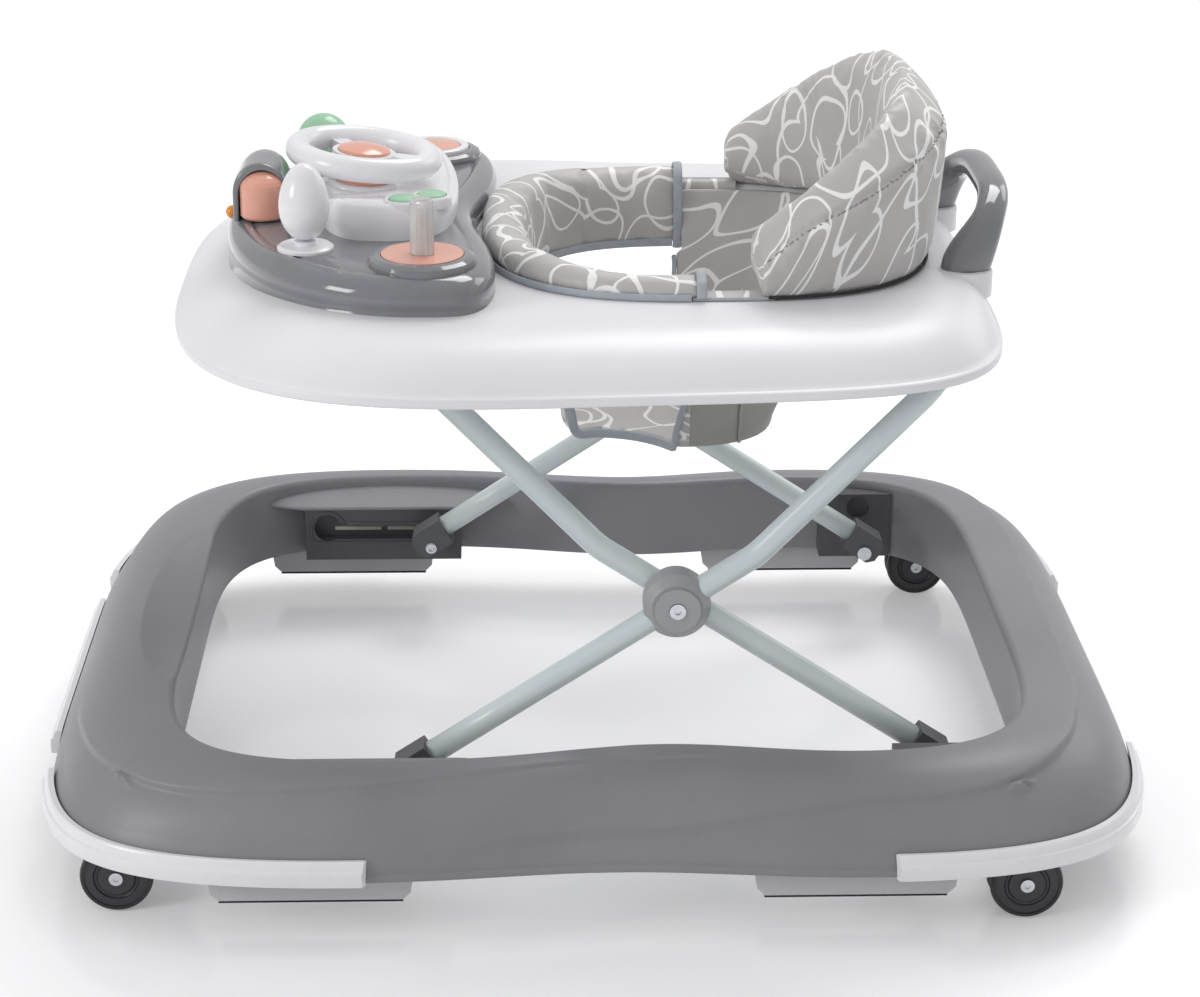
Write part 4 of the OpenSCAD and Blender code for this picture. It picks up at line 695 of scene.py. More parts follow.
def buildTracks():
    stripSection = ((0.0, 68.2), (0.5, 68.5), (0.6, 69.8), (0.5, 71.1), (0.0, 71.4))
    for side, name in ((-1, "Left"), (1, "Right")):
        xs = np.linspace(track["slotFront"] - 40, track["slotRear"] + 46, 60)
        middle, half = (xs[0] + xs[-1]) / 2, (xs[-1] - xs[0]) / 2
        rows = []
        for x in xs:
            wall = innerWall(x)
            rise = math.sqrt(max(0.0, 1 - ((x - middle) / half) ** 2))
            face = track["face"] - 1.2 + (wall - track["face"]) * (1 - smoothStep(rise, 0.0, 0.75))
            top = 92.2 + 6.5 * rise
            line = [(face + 0.6, 89.5), (face, 90.3), (face, 91.4), (face + 0.8, 92.2), (wall - 1.2, top),
                    (wall + 1, top + 0.4), (wall + 1, 89.5)]
            rows.append([[x, side * y, z] for y, z in line])
        ridesOn(loftPiece("trackLedge" + name, rows, plastic["satinGreyBase"], sharpAngle=30), "base", [])
        outline = []  # moulded bead round the keyhole slot
        h, r = track["slotHalf"] + 2.6, track["key"] + 2.4
        kx, kz = track["slotFront"] + 6, arms["pivotZ"] + 4
        a0 = math.asin((h - 4) / r)
        for a in np.linspace(a0, math.pi, 18):
            outline.append((kx + r * math.cos(a), kz + r * math.sin(a)))
        outline += [(kx - r, kz - 6), (kx - r + 2.5, arms["pivotZ"] - h + 1), (kx - r + 6, arms["pivotZ"] - h)]
        outline += [(x, arms["pivotZ"] - h) for x in np.linspace(kx, track["slotRear"] + 2, 12)]
        outline += [(track["slotRear"] + 4, arms["pivotZ"] - h + 2), (track["slotRear"] + 4, arms["pivotZ"] + h - 2)]
        outline += [(x, arms["pivotZ"] + h) for x in np.linspace(track["slotRear"] + 2, kx + r * math.cos(a0) + 3, 10)]
        path = [[x, side * (track["face"] - 0.2), z] for x, z in outline]
        ridesOn(sweepTube("trackBead" + name, path, 1.1, plastic["satinTrackPlastic"], sides=12),
                "base", [])
        y = side * track["backing"]
        plate = [[(x, y, z) for z in (58.0, 84.0)] + [(x, y + side * 1.5, z) for z in (84.0, 58.0)]
                 for x in (track["slotFront"] - 10, track["slotRear"] + 8)]
        ridesOn(loftPiece("trackBacking" + name, plate, plastic["satinTrackPlastic"], sharpAngle=30),
                "base", [])
        for end, (x0, x1) in (("Front", (-197.0, -160.0)), ("Rear", (-155.0, -116.0))):
            strip = [[(x, y - side * q, z) for q, z in stripSection] for x in np.linspace(x0, x1, 6)]
            ridesOn(loftPiece("wearStrip" + end + name, strip, plastic["paleWearStrip"], sharpAngle=30),
                    "base", [])


def innerWall(x):  # distance of the ring's inner wall from the middle line
    u = math.acos(max(-1.0, min(1.0, math.copysign(abs((x - innerCx) / innerA) ** 2.9, x - innerCx))))
    return float(ringInner(np.array([u]))[0][1])


buildTracks()
print("tracks built")

handle = {"height": 51.0, "lean": 24.0, "steps": 150}


def gripPoint(t):
    a = math.pi * t
    zz = max(1e-9, math.sin(a)) ** 0.72
    across = math.copysign(abs(math.cos(a)) ** 0.62, math.cos(a))
    return np.array([tray["postX"] + handle["lean"] * zz ** 1.3, -tray["postY"] * across,
                     tray["deck"] + 1 + (handle["height"] - 9) * zz])


def buildHandle():
    grid = np.linspace(0, 1, 4001)
    pts = np.array([gripPoint(t) for t in grid])
    run = runAlong(pts)
    length = np.linspace(0, run[-1], handle["steps"])
    centre = eased(sampled(pts, grid, np.interp(length, run, grid)), 6)
    tangent = unitRows(np.gradient(centre, axis=0))
    tangent[0], tangent[-1] = (0, 0, 1), (0, 0, -1)
    rows = []
    for i, p in enumerate(centre):
        near = min(length[i], run[-1] - length[i])
        e = float(smoothStep(near, 0, 46))
        side = np.array([1.0, 0, 0]) - tangent[i] * tangent[i][0]
        side /= np.linalg.norm(side)
        up = np.cross(tangent[i], side)
        a, b = 16.5 - 6.0 * e, 12.0 - 2.5 * e
        rows.append([p + side * a * signedPower(math.cos(f), 0.9) + up * b * signedPower(math.sin(f), 0.9)
                     for f in np.linspace(0, 2 * math.pi, 40, endpoint=False)])
    ridesOn(loftPiece("grabHandle", rows, plastic["glossConsoleGrey"], sharpAngle=50),
            "tray", ["grab_handle"])


buildHandle()
print("handle built")

console = {"centre": -115.0, "front": 132.0, "rear": 54.0, "half": 185.0, "height": 23.0, "dashCentre": -137.0,
           "dashA": 46.0, "dashB": 90.0, "steerX": -154.0, "steerZ": 437.5, "tilt": 6.0, "buttonHole": 10.4,
           "farPod": (-111.0, 141.0), "farPodLift": 4.0}
consoleTop = tray["deck"] + console["height"]
# From the foot up: growth in plan, height, and for the dash its share of the rise at its ends
consoleSide = ((-0.6, 4.0), (0.2, 6.0), (0.4, 9.0), (0.2, 12.5), (-0.8, 15.5), (-2.6, 18.2), (-5.2, 20.6), (-8.4, 22.2),
               (-11.5, 22.9), (-14.2, 23.0), (-15.4, 22.5), (-16.4, 22.0), (-18.0, 22.4), (-20.0, 23.0))
dashSide = ((0.0, -0.6, 0), (0.2, 1.5, 0.1), (0.9, 5.0, 0.3), (1.0, 8.0, 0.5), (0.4, 10.4, 0.68), (-0.8, 12.0, 0.82),
            (-2.4, 13.1, 0.93), (-4.2, 13.7, 1), (-5.6, 13.8, 1), (-6.4, 13.2, 1), (-7.4, 13.2, 1), (-8.2, 13.9, 1),
            (-14.0, 14.0, 1), (-22.0, 14.0, 1), (-32.0, 14.0, 1))


def consolePoint(u, grow=0.0):
    u = np.asarray(u, float)
    front = superPoint(u, console["centre"], console["front"] + grow, console["half"] + grow, 2.0)
    rear = superPoint(u, console["centre"], console["rear"] + grow, console["half"] + grow, 4.5)
    rear[..., 0] -= 19 * bell(rear[..., 1], 0, 82) * np.maximum(np.cos(u), 0) ** 0.4
    return np.where((np.cos(u) < 0)[..., None], front, rear)


def dashLift(y):  # the dash rises towards its ends
    return 10 * np.minimum(1, np.abs(y) / 70) ** 2


def buildConsole():
    u = evenAngles(consolePoint, 260)
    rows = [[(x, y, trayHeight(x, y) - 0.3) for x, y in consolePoint(u, 0.4)],
            [(x, y, trayHeight(x, y) + 1.6) for x, y in consolePoint(u, -0.4)]]
    for grow, z in consoleSide:
        rows.append([(x, y, tray["deck"] + z) for x, y in consolePoint(u, grow)])
    last = consolePoint(u, -20.0)
    for share in (0.85, 0.6, 0.3, 0.02):
        rows.append([(console["centre"] + (x - console["centre"]) * share, y * share, consoleTop) for x, y in last])
    ridesOn(loftPiece("consoleBase", rows, plastic["glossConsoleGrey"], sharpAngle=60),
            "tray", ["console_base"])
    u = evenAngles(lambda a: superPoint(a, console["dashCentre"], console["dashA"], console["dashB"], 2.8), 220)
    rows = []
    for grow, z, share in dashSide:
        p = superPoint(u, console["dashCentre"], console["dashA"] + grow, console["dashB"] + grow, 2.8)
        rows.append(np.column_stack([p, consoleTop + z + dashLift(p[:, 1]) * share]))
    for share in (0.6, 0.25, 0.02):
        p = superPoint(u, console["dashCentre"], (console["dashA"] - 32) * share, (console["dashB"] - 32) * share, 2.8)
        rows.append(np.column_stack([p, consoleTop + 14.0 + dashLift(p[:, 1])]))
    ridesOn(loftPiece("dashHousing", rows, plastic["glossWhiteAbs"], sharpAngle=60),
            "tray", ["dash_housing"])
    steer = (console["steerX"], 0, console["steerZ"])
    collar = lathe([(18.4, -26), (18.4, -18.6), (19.0, -18.0), (22.4, -18.0), (23.6, -18.5), (24.2, -19.4),
                    (24.5, -20.6), (27.4, -20.9), (28.8, -21.5), (29.6, -22.6), (30.0, -28)], steer, 96,
                    console["tilt"])
    ridesOn(loftPiece("columnCollar", collar, plastic["glossWhiteAbs"], ends="open", sharpAngle=40),
            "tray", [])
    r = console["buttonHole"]
    for name, body, node, at in (("Upper", "button_upper", "dash_button_upper", (-107.0, -62.0, 424.5)),
                                 ("Lower", "button_lower", "dash_button_lower", (-125.0, -75.0, 425.2))):
        cap = lathe([(9.9, -4.0), (9.9, 0.9), (9.5, 1.5), (8.6, 1.9), (6.0, 2.2), (3.0, 2.35), (0.05, 2.4)], at, 64)
        ridesOn(loftPiece("dashButton" + name, cap, plastic["glossMint"], sharpAngle=40), body, [node])
        ring = lathe([(r, -6.0), (r, 0.2), (r + 0.5, 0.7), (r + 1.8, 0.8), (r + 2.6, 0.2), (r + 3.1, -1.2),
                      (r + 3.4, -6.5)], at, 64)
        ridesOn(loftPiece("buttonRing" + name, ring, plastic["glossWhiteAbs"], ends="open", sharpAngle=40),
                "tray", [])
    farPod = console["farPod"] + (consoleTop + console["farPodLift"],)
    ring = lathe([(20.4, 0.0), (20.4, 3.6), (20.9, 4.3), (22.0, 4.6), (25.0, 4.5), (26.0, 3.9), (26.2, 2.8),
                  (26.2, 0.0)], farPod, 96)
    ridesOn(loftPiece("farPodRing", ring, plastic["glossWhiteAbs"], ends="open", sharpAngle=40),
            "far_button", ["far_pod_button"])
    disc = lathe([(20.2, 0.0), (20.2, 3.2), (19.6, 4.0), (16, 4.6), (10, 5.0), (4, 5.1), (0.05, 5.1)], farPod, 96)
    ridesOn(loftPiece("farPodDisc", disc, plastic["glossPeach"], sharpAngle=40),
            "far_button", ["far_pod_button"])


buildConsole()
print("console built")

tower = {"centre": -222.5, "half": 18.5, "height": 38.6, "front": -36.0, "back": 40.0, "drumX": -221.0, "window": 16.2,
         "windowHeight": 33.8, "depth": 22.0}


def archLine(cx, half, top, y):  # upright arch: two legs and a rounded crown
    low, crown = consoleTop - 1.0, half * 1.12
    legs = np.linspace(low, top - crown, 8)
    right = [(cx + half, y, z) for z in legs[:-1]]
    arc = [(cx + half * math.cos(a), y, top - crown + crown * math.sin(a)) for a in np.linspace(0, math.pi, 40)]
    return right + arc + [(cx - half, y, z) for z in legs[-2::-1]]


def buildTower():
    # Bullet-shaped hood with an arched window, in which the drum stands
    top, cx, half, drumX = consoleTop + tower["height"], tower["centre"], tower["half"], tower["drumX"]
    window, windowTop, face = tower["window"], consoleTop + tower["windowHeight"], tower["front"]
    inner = face + tower["depth"]
    rows = [archLine(drumX, 0.5, consoleTop + 6, inner + 0.2), archLine(drumX, window, windowTop, inner),
            archLine(drumX, window, windowTop, face + 1.4),
            archLine(drumX - 0.1, window + 0.3, windowTop + 0.4, face + 0.4),
            archLine(drumX - 0.8, half - 1.1, top - 2.2, face), archLine(cx + 0.3, half - 0.5, top - 1.0, face + 0.3),
            archLine(cx, half, top - 0.2, face + 1.4)]
    for y in np.linspace(face + 4, tower["back"], 30):
        k = max(0.0, (y + 8) / 48)
        drop = (1 - math.sqrt(max(0.0, 1 - k ** 2.6)))
        rows.append(archLine(cx, max(1.0, half * (1 - 0.9 * drop)), top - 30 * drop, y))
    ridesOn(loftPiece("towerHood", rows, plastic["glossConsoleGrey"], sharpAngle=50),
            "tray", ["tower_hood"])


buildTower()
print("tower built")

seat = {"bandCrest": 16.0, "bandExtra": 7.0, "bandStart": 91.5, "backStart": 85.0, "legHole": 66.0, "legAt": 108.0,
        "fold": 333.7, "floor": 248.0, "rise": 129.0, "floorX": 54.0, "floorLength": 75.0, "floorWidth": 77.0}


def clothMap(piece, source, sourceUv):
    # Gives a piece the cloth coordinates, in mm, of the nearest place on its source form
    mesh = piece.data
    points = [v.co.copy() for v in source.data.vertices]
    faces = [tuple(f.vertices) for f in source.data.polygons]
    tree = surfaceOf(source)
    values = np.zeros((len(mesh.vertices), 2))
    for i, vertex in enumerate(mesh.vertices):
        spot, _, f, _ = tree.find_nearest(vertex.co)
        ids = faces[f]
        uv = np.array([sourceUv[k] for k in ids])
        if len(ids) > 4 or np.ptp(uv[:, 0]) > 120 or np.ptp(uv[:, 1]) > 120:
            values[i] = uv[min(range(len(ids)), key=lambda k: (points[ids[k]] - spot).length)]
        else:
            weights = np.array(poly_3d_calc([points[k] for k in ids], spot))
            values[i] = (uv * weights[:, None]).sum(0)
    setCloth(piece, values)


def gridUv(rows):  # cloth coordinates of a lofted form: length along its middle, and length round each section
    rows = np.asarray(rows, float)
    along = runAlong(rows.mean(1))
    round_ = np.concatenate([np.zeros((len(rows), 1)),
                             np.cumsum(np.linalg.norm(np.diff(rows, axis=1), axis=2), axis=1)], axis=1)
    return np.stack([np.repeat(along[:, None], rows.shape[1], 1) * 1.15, round_], -1).reshape(-1, 2)


def finalMesh(piece):  # the mesh as its modifiers leave it
    return bpy.data.meshes.new_from_object(piece.evaluated_get(bpy.context.evaluated_depsgraph_get()))


def puff(name, source, voxel, cap, pressure=4.0, frames=20):
    # Pads swell under cloth pressure, with each point's movement capped
    piece = addObject(name, source.data.copy())
    remesh = piece.modifiers.new("remesh", "REMESH")
    remesh.mode, remesh.voxel_size = "VOXEL", voxel / 1000
    bpy.context.view_layer.update()
    fresh = finalMesh(piece)
    piece.modifiers.clear()
    piece.data = fresh
    count = len(fresh.vertices)
    start = np.empty(count * 3)
    fresh.vertices.foreach_get("co", start)
    start = start.reshape(-1, 3)
    cloth = piece.modifiers.new("cloth", "CLOTH")
    cloth.settings.quality = 5
    cloth.settings.mass = 0.25
    cloth.settings.tension_stiffness = cloth.settings.compression_stiffness = 18
    cloth.settings.bending_stiffness = 0.4
    cloth.settings.use_pressure = True
    cloth.settings.uniform_pressure_force = pressure
    cloth.settings.effector_weights.gravity = 0
    cloth.collision_settings.use_collision = False
    cloth.point_cache.frame_start, cloth.point_cache.frame_end = 1, frames
    for f in range(1, frames + 1):
        scene.frame_set(f)
    shaped = finalMesh(piece)
    end = np.empty(count * 3)
    shaped.vertices.foreach_get("co", end)
    move = end.reshape(-1, 3) - start
    length = np.linalg.norm(move, axis=1)
    limit = cap / 1000
    move *= (limit * np.tanh(length / limit) / np.maximum(length, 1e-9))[:, None]
    piece.modifiers.clear()
    fresh.vertices.foreach_set("co", (start + move).ravel())
    scene.frame_set(1)
    smooth = piece.modifiers.new("smooth", "SMOOTH")
    smooth.factor, smooth.iterations = 0.5, 4
    finer = piece.modifiers.new("finer", "SUBSURF")
    finer.levels = finer.render_levels = 1
    piece.data = finalMesh(piece)
    piece.modifiers.clear()
    piece.data.polygons.foreach_set("use_smooth", [True] * len(piece.data.polygons))
    return piece


def reshapePoints(piece, change):  # change takes and gives the points in mm
    mesh = piece.data
    points = np.empty(len(mesh.vertices) * 3)
    mesh.vertices.foreach_get("co", points)
    points = change(points.reshape(-1, 3) * 1000) / 1000
    mesh.vertices.foreach_set("co", points.ravel())
    mesh.update()


def subdivide(piece):
    bend = piece.modifiers.new("round", "SUBSURF")
    bend.levels = bend.render_levels = 1


def around(x, y):  # plan angle of a point about the middle of the tray's opening, in degrees from the rear
    return np.degrees(np.arctan2(y / (tray["holeWidth"] / 2), (x - tray["holeCentre"]) / (tray["holeLength"] / 2)))


def holeShare(p):  # how far out points stand, where 1 is the end of each half-axis of the tray's opening
    return np.hypot((p[:, 0] - tray["holeCentre"]) / (tray["holeLength"] / 2), p[:, 1] / (tray["holeWidth"] / 2))


def bandSection(u):
    crest = seat["bandCrest"] + seat["bandExtra"] * max(0.0, -math.cos(u)) ** 1.5
    deck = tray["deck"] + 1.2
    return [(14.5, deck), (15.0, deck + 4.5), (13.6, deck + crest * 0.62), (10.0, deck + crest - 4.4),
            (5.0, deck + crest - 1.6), (0.0, deck + crest - 1.0), (-5.5, deck + crest - 3.4),
            (-10.2, deck + crest * 0.5), (-12.0, deck - 2.0), (-13.4, deck - 16), (-13.2, deck - 30), (-12.4, 334.8),
            (-8.0, 334.8), (-6.0, deck - 22), (-4.2, 364.0), (-3.0, deck - 6), (-1.6, deck)]


def sweepSection(section, angles, edge):  # section gives offsets outward from the opening's edge, and heights
    return [standUp(section(u), edge(u), edgeNormal(edge, u)) for u in angles]


def awayFromHole(points):  # plan directions away from the middle of the tray's opening
    return [np.array([p[0] - tray["holeCentre"], p[1], 0]) for p in points]


def tapeStrip(name, path, outward, width, thick, material=tape):
    # Folded binding along points, each with its outward direction
    path, outward = np.asarray(path, float), np.asarray(outward, float)
    tangent = unitRows(np.gradient(path, axis=0))
    outward = unitRows(outward - tangent * (outward * tangent).sum(1)[:, None])
    side = np.cross(tangent, outward)
    ring = [(0.5, 0.0), (0.5, 0.55), (0.42, 0.9), (0.2, 1.05), (0.0, 1.08), (-0.2, 1.05), (-0.42, 0.9), (-0.5, 0.55),
            (-0.5, 0.0), (-0.35, -0.35), (0.0, -0.45), (0.35, -0.35)]
    rows = [[p + s * a * width + o * b * thick for a, b in ring] for p, s, o in zip(path, side, outward)]
    piece = loftPiece(name, rows, material, sharpAngle=60)
    run, m = runAlong(path), len(ring)
    setCloth(piece, [(run[i // m], (i % m) * 1.5) for i in range(len(piece.data.vertices))])
    return ridesOn(piece, "tray", [])


def buildBand():
    ends = math.radians(seat["bandStart"])
    angles = np.linspace(ends, 2 * math.pi - ends, 170)
    rows = sweepSection(bandSection, angles, holeEdge)
    source = loftPiece("bandForm", rows, None)
    band = puff("seatFrontBand", source, 4.5, 3.0)
    clothMap(band, source, gridUv(rows))
    coverWith(band, seatPrint)

    def gathers(p):  # the cover is drawn in along the inner edge of the crest, and the seam at the far side pulls in
        a = np.radians(around(p[:, 0], p[:, 1]))
        edge = np.array([np.linalg.norm(holeEdge(q) - [tray["holeCentre"], 0]) for q in a])
        r = np.hypot(p[:, 0] - tray["holeCentre"], p[:, 1])
        n = np.column_stack([(p[:, 0] - tray["holeCentre"]) / r, p[:, 1] / r, np.zeros(len(p))])
        off = r - edge
        arc = a * 145
        wrinkle = np.sin(arc / 4.6 + 1.7 * np.sin(arc / 23)) * (0.5 + 0.5 * np.sin(arc / 31 + 0.6)) ** 0.7
        near = bell(off, -11.5, 5.5) * smoothStep(p[:, 2], 362, 376)
        low = bell(p[:, 2], 338, 9) * (off < -4)
        p = p + n * (1.5 * wrinkle * near + 1.0 * wrinkle * low)[:, None]
        p[:, 2] -= 0.9 * wrinkle * near
        seam = bell(p[:, 0], 0, 2.6) * (p[:, 1] > 0) * smoothStep(p[:, 2], 330, 345)
        p += n * (2.4 * seam)[:, None] * np.where(off < 0, 1, -1)[:, None]
        p[:, 2] = np.maximum(p[:, 2], np.where(off > -3, tray["deck"] + 0.4, 0))
        return p

    reshapePoints(band, gathers)
    bpy.data.objects.remove(source)
    subdivide(band)
    ridesOn(band, "tray", ["seat_front_band"])
    pipe = np.linspace(ends + 0.02, 2 * math.pi - ends - 0.02, 150)
    ring = [np.append(holeEdge(u, -12.5), 338.4) for u in pipe]
    tapeStrip("bandLowerBinding", ring, [-away for away in awayFromHole(ring)], 6.0, 1.5)
    ring = [np.append(holeEdge(u, 15.2), tray["deck"] + 2.6) for u in pipe]
    tapeStrip("bandOuterBinding", ring, awayFromHole(ring), 4.6, 1.1)
    for name, u in (("Right", ends), ("Left", 2 * math.pi - ends)):  # each end of the band is bound over its edge
        p, out = holeEdge(u), edgeNormal(holeEdge, u)
        path = np.array(standUp([(15.0, tray["deck"] + 2.4)] + bandSection(u)[2:13], p, out))
        path = eased(sampled(path, np.linspace(0, 1, len(path)), np.linspace(0, 1, 60)), 3)
        middle = np.array([p[0] - out[0] * 2, p[1] - out[1] * 2, 375.0])
        tapeStrip("bandEndBinding" + name, path, path - middle, 6.5, 1.4)


def backSection(u):
    pi, po = holeEdge(u, -24.0), holeEdge(u, 15.5)
    width = np.linalg.norm(po - pi)
    d = (po - pi) / width
    z0 = tray["deck"] + 1.2
    s = float(np.clip((pi[0] - 90) / 99, 0, 1))
    h = 32 + 90 * s + 2.6
    lift = 20 * (1 - s) ** 2
    seam = h * (0.58 + 0.24 * min(1, 4 * s) - 0.06 * s)
    lean = 9 * h / 122
    line = [(1, lift, 0), (0, between(lift, h, .15), .15), (0, between(lift, h, .3), .3),
            (1.2, between(lift, h, .5), .5), (3, between(lift, h, .72), .7), (5.2, between(lift, h, .86), .9),
            (8.5, .975 * h, 1), (12, h, 1), (15.5, between(h, seam, .06), 1), (20, between(h, seam, .25), 1),
            (between(20, width - 5, .5), between(h, seam, .58), 1), (width - 5, between(h, seam, .92), 1),
            (width - 1.2, seam - 3, .9), (width - .4, .7 * seam, .7), (width - .2, .4 * seam, .4),
            (width - .8, .12 * seam, .1), (width - 3, 0, 0), (width - 12, 0, 0), (9, lift * .6, 0)]
    section = [(q + lean * k, z0 + z) for q, z, k in line]
    return standUp(section, pi, d), width, seam, d, pi, lean, z0


def stitchRow(name, line, onto, centre):  # thread stitches 3 mm long, every 4.4 mm, laid on a soft piece along a line
    tree = surfaceOf(onto)
    run = runAlong(line)
    points, faces = [], []
    for at in np.arange(6, run[-1] - 6, 4.4):
        ends = []
        for k in (at - 1.5, at, at + 1.5):
            p = sampled(line, run, k)
            away = (p - centre) / np.linalg.norm(p - centre)
            spot, normal, _, _ = tree.find_nearest(Vector((p + away * 1.0) / 1000))
            ends.append((np.array(spot) * 1000, np.array(normal)))
        along = ends[2][0] - ends[0][0]
        along /= max(1e-6, np.linalg.norm(along))
        start = len(points)
        for (q, normal), r, sink in zip(ends, (0.2, 0.55, 0.2), (-0.3, 0.25, -0.3)):
            side = np.cross(along, normal)
            for a in np.linspace(0, 2 * math.pi, 6, endpoint=False):
                points.append(q + normal * (sink + r * math.sin(a)) + side * r * 1.1 * math.cos(a))
        for ring in (0, 1):
            faces += [(start + ring * 6 + j, start + ring * 6 + (j + 1) % 6, start + ring * 6 + 6 + (j + 1) % 6,
                       start + ring * 6 + 6 + j) for j in range(6)]
        faces += [tuple(start + j for j in range(6))[::-1], tuple(start + 12 + j for j in range(6))]
    return ridesOn(makeMesh(name, points, faces, thread), "tray", [])


def foldOver(name, u0, u1):  # between the band and the backrest the panel is folded over the tray's edge and bound
    deck = tray["deck"]
    line = [(-2.6, 372.0), (-2.4, deck - 1), (-1.6, deck + 1.6), (0.2, deck + 3.2), (3.0, deck + 3.6),
            (7.0, deck + 3.0), (11.5, deck + 2.2), (13.4, deck + 1.2), (13.6, deck + 0.5),
            (8.0, deck + 0.5), (1.2, deck + 0.5), (-0.7, deck - 0.4), (-0.9, 372.0)]
    angles = np.linspace(u0, u1, 26)
    rows = sweepSection(lambda u: line, angles, holeEdge)
    piece = loftPiece(name, rows, seatPrint, sharpAngle=70)
    setCloth(piece, gridUv(rows) + [37, 11])
    ridesOn(piece, "tray", [])
    path = [np.append(holeEdge(u, 13.0), deck + 1.4) for u in angles]
    tapeStrip(name + "Binding", path, awayFromHole(path), 2.2, 1.4)


def buildBackrest():
    limit = math.radians(seat["backStart"])
    angles = np.linspace(-limit, limit, 190)
    rows = [backSection(u)[0] for u in angles]
    source = loftPiece("backForm", rows, None)
    back = puff("backrestCushion", source, 5.0, 3.5)
    clothMap(back, source, gridUv(rows))
    coverWith(back, seatPrint)
    seamLine = []
    for u in angles:
        _, width, seam, d, pi, lean, z0 = backSection(u)
        out = width - 1.2 + lean * .9
        seamLine.append([pi[0] + d[0] * out, pi[1] + d[1] * out, z0 + seam - 2.0])
    seamLine = np.array(seamLine)
    crestLine = np.array([r[7] for r in rows])
    middle = np.array([tray["holeCentre"] - 10, 0, tray["deck"] + 20])

    def stitched(p):  # a seam runs along the outer top edge, and the cover is gathered towards the crest
        d2 = ((p[:, None, :] - seamLine[None, ::2, :]) ** 2).sum(2)
        k = d2.argmin(1)
        near = np.sqrt(d2.min(1))
        inward = unitRows(middle - p)
        p = p + inward * (2.9 * np.exp(-(near / 2.7) ** 2))[:, None]
        arc = k * 2 * np.linalg.norm(np.diff(seamLine, axis=0), axis=1).mean()
        pull = np.sin(arc / 3.9 + 1.2 * np.sin(arc / 17)) * (0.45 + 0.55 * np.sin(arc / 27 + 1.1))
        p = p + inward * (1.2 * pull * np.exp(-((near - 6) / 6) ** 2))[:, None]
        d3 = ((p[:, None, :] - crestLine[None, ::2, :]) ** 2).sum(2)
        k3 = d3.argmin(1)
        near3 = np.sqrt(d3.min(1))
        fold = np.sin(k3 * 2.3 + 2.0 * np.sin(k3 * 0.31)) * np.abs(np.sin(k3 * 0.13 + 0.4))
        inside = holeShare(p) < holeShare(crestLine[::2][k3])
        p = p + inward * (1.9 * fold * np.exp(-((near3 - 13) / 11) ** 2) * inside)[:, None]
        p[:, 2] = np.maximum(p[:, 2], tray["deck"] + 0.4)
        return p

    reshapePoints(back, stitched)
    stitchRow("backrestStitches", seamLine, back, middle)
    bpy.data.objects.remove(source)
    subdivide(back)
    ridesOn(back, "tray", ["backrest_cushion"])
    cord = [r[16] for r in rows]  # dark piping where the cover meets the tray
    path = np.array(cord) + unitRows(np.array(awayFromHole(cord))) * 2.4 + [0, 0, 1.2]
    ridesOn(sweepTube("backrestPiping", path[2:-2], 1.1, stripRubber, sides=10), "tray", [])


def slingShare(z):  # 0 at the sling's floor, 1 at the opening
    return (z - seat["floor"]) / seat["rise"]


def slingRing(k, inset, count):  # plan outline of the sling at a share of its height
    u = np.linspace(0, 2 * math.pi, count, endpoint=False)
    low = superPoint(u, seat["floorX"], seat["floorLength"], seat["floorWidth"], 2.6)
    high = np.array([holeEdge(a, -1.5) for a in u])
    f = k * k * (3 - 2 * k)
    p = low + (high - low) * f
    middle = np.array([between(seat["floorX"], tray["holeCentre"], f), 0])
    away = p - middle
    r = np.linalg.norm(away, axis=1)[:, None]
    return middle + away / r * (r - inset)


def bagForm(name, thick, count=260, layers=30):  # closed bag of an even thickness, hung from the opening
    inside, outside = [], []
    bottom = seat["floor"]
    for z in np.linspace(bottom + 0.6, tray["deck"] - 1.6, layers):
        k = slingShare(z)
        outside.append(np.column_stack([slingRing(k, 0.8, count), np.full(count, z)]))
        inside.append(np.column_stack([slingRing(k, 0.8 + thick, count), np.full(count, max(z, bottom + 0.6 + thick))]))
    middle = np.array([seat["floorX"], 0])
    outer, inner = slingRing(0, 0.8, count) - middle, slingRing(0, 0.8 + thick, count) - middle
    low = [np.column_stack([middle + outer * s, np.full(count, bottom + 0.6 * s ** 6)])
           for s in (0.02, 0.3, 0.6, 0.85, 0.97)]
    floor = [np.column_stack([middle + inner * s, np.full(count, bottom + thick)]) for s in (0.97, 0.8, 0.5, 0.02)]
    rows = np.array(low + outside + inside[::-1][:-1] + floor)
    return loftPiece(name, rows, None), rows


def cutAway(piece, cutter):
    cut = piece.modifiers.new("cut", "BOOLEAN")
    cut.operation, cut.solver, cut.object = "DIFFERENCE", "EXACT", cutter
    piece.data = finalMesh(piece)
    piece.modifiers.clear()
    bpy.data.objects.remove(cutter)


def prism(name, outline, z0, z1):
    return loftPiece(name, [[(x, y, z0) for x, y in outline], [(x, y, z1) for x, y in outline]], None)


def legOutline(side):  # plan outline of one leg opening, carried forward past the front wall
    arc = [(seat["legHole"] * math.sin(a), side * (seat["legAt"] - seat["legHole"] * math.cos(a)))
           for a in np.linspace(0, math.pi / 2, 40)]
    return arc + [(seat["legHole"], side * 200), (-90, side * 200), (-90, side * (seat["legAt"] - seat["legHole"]))]


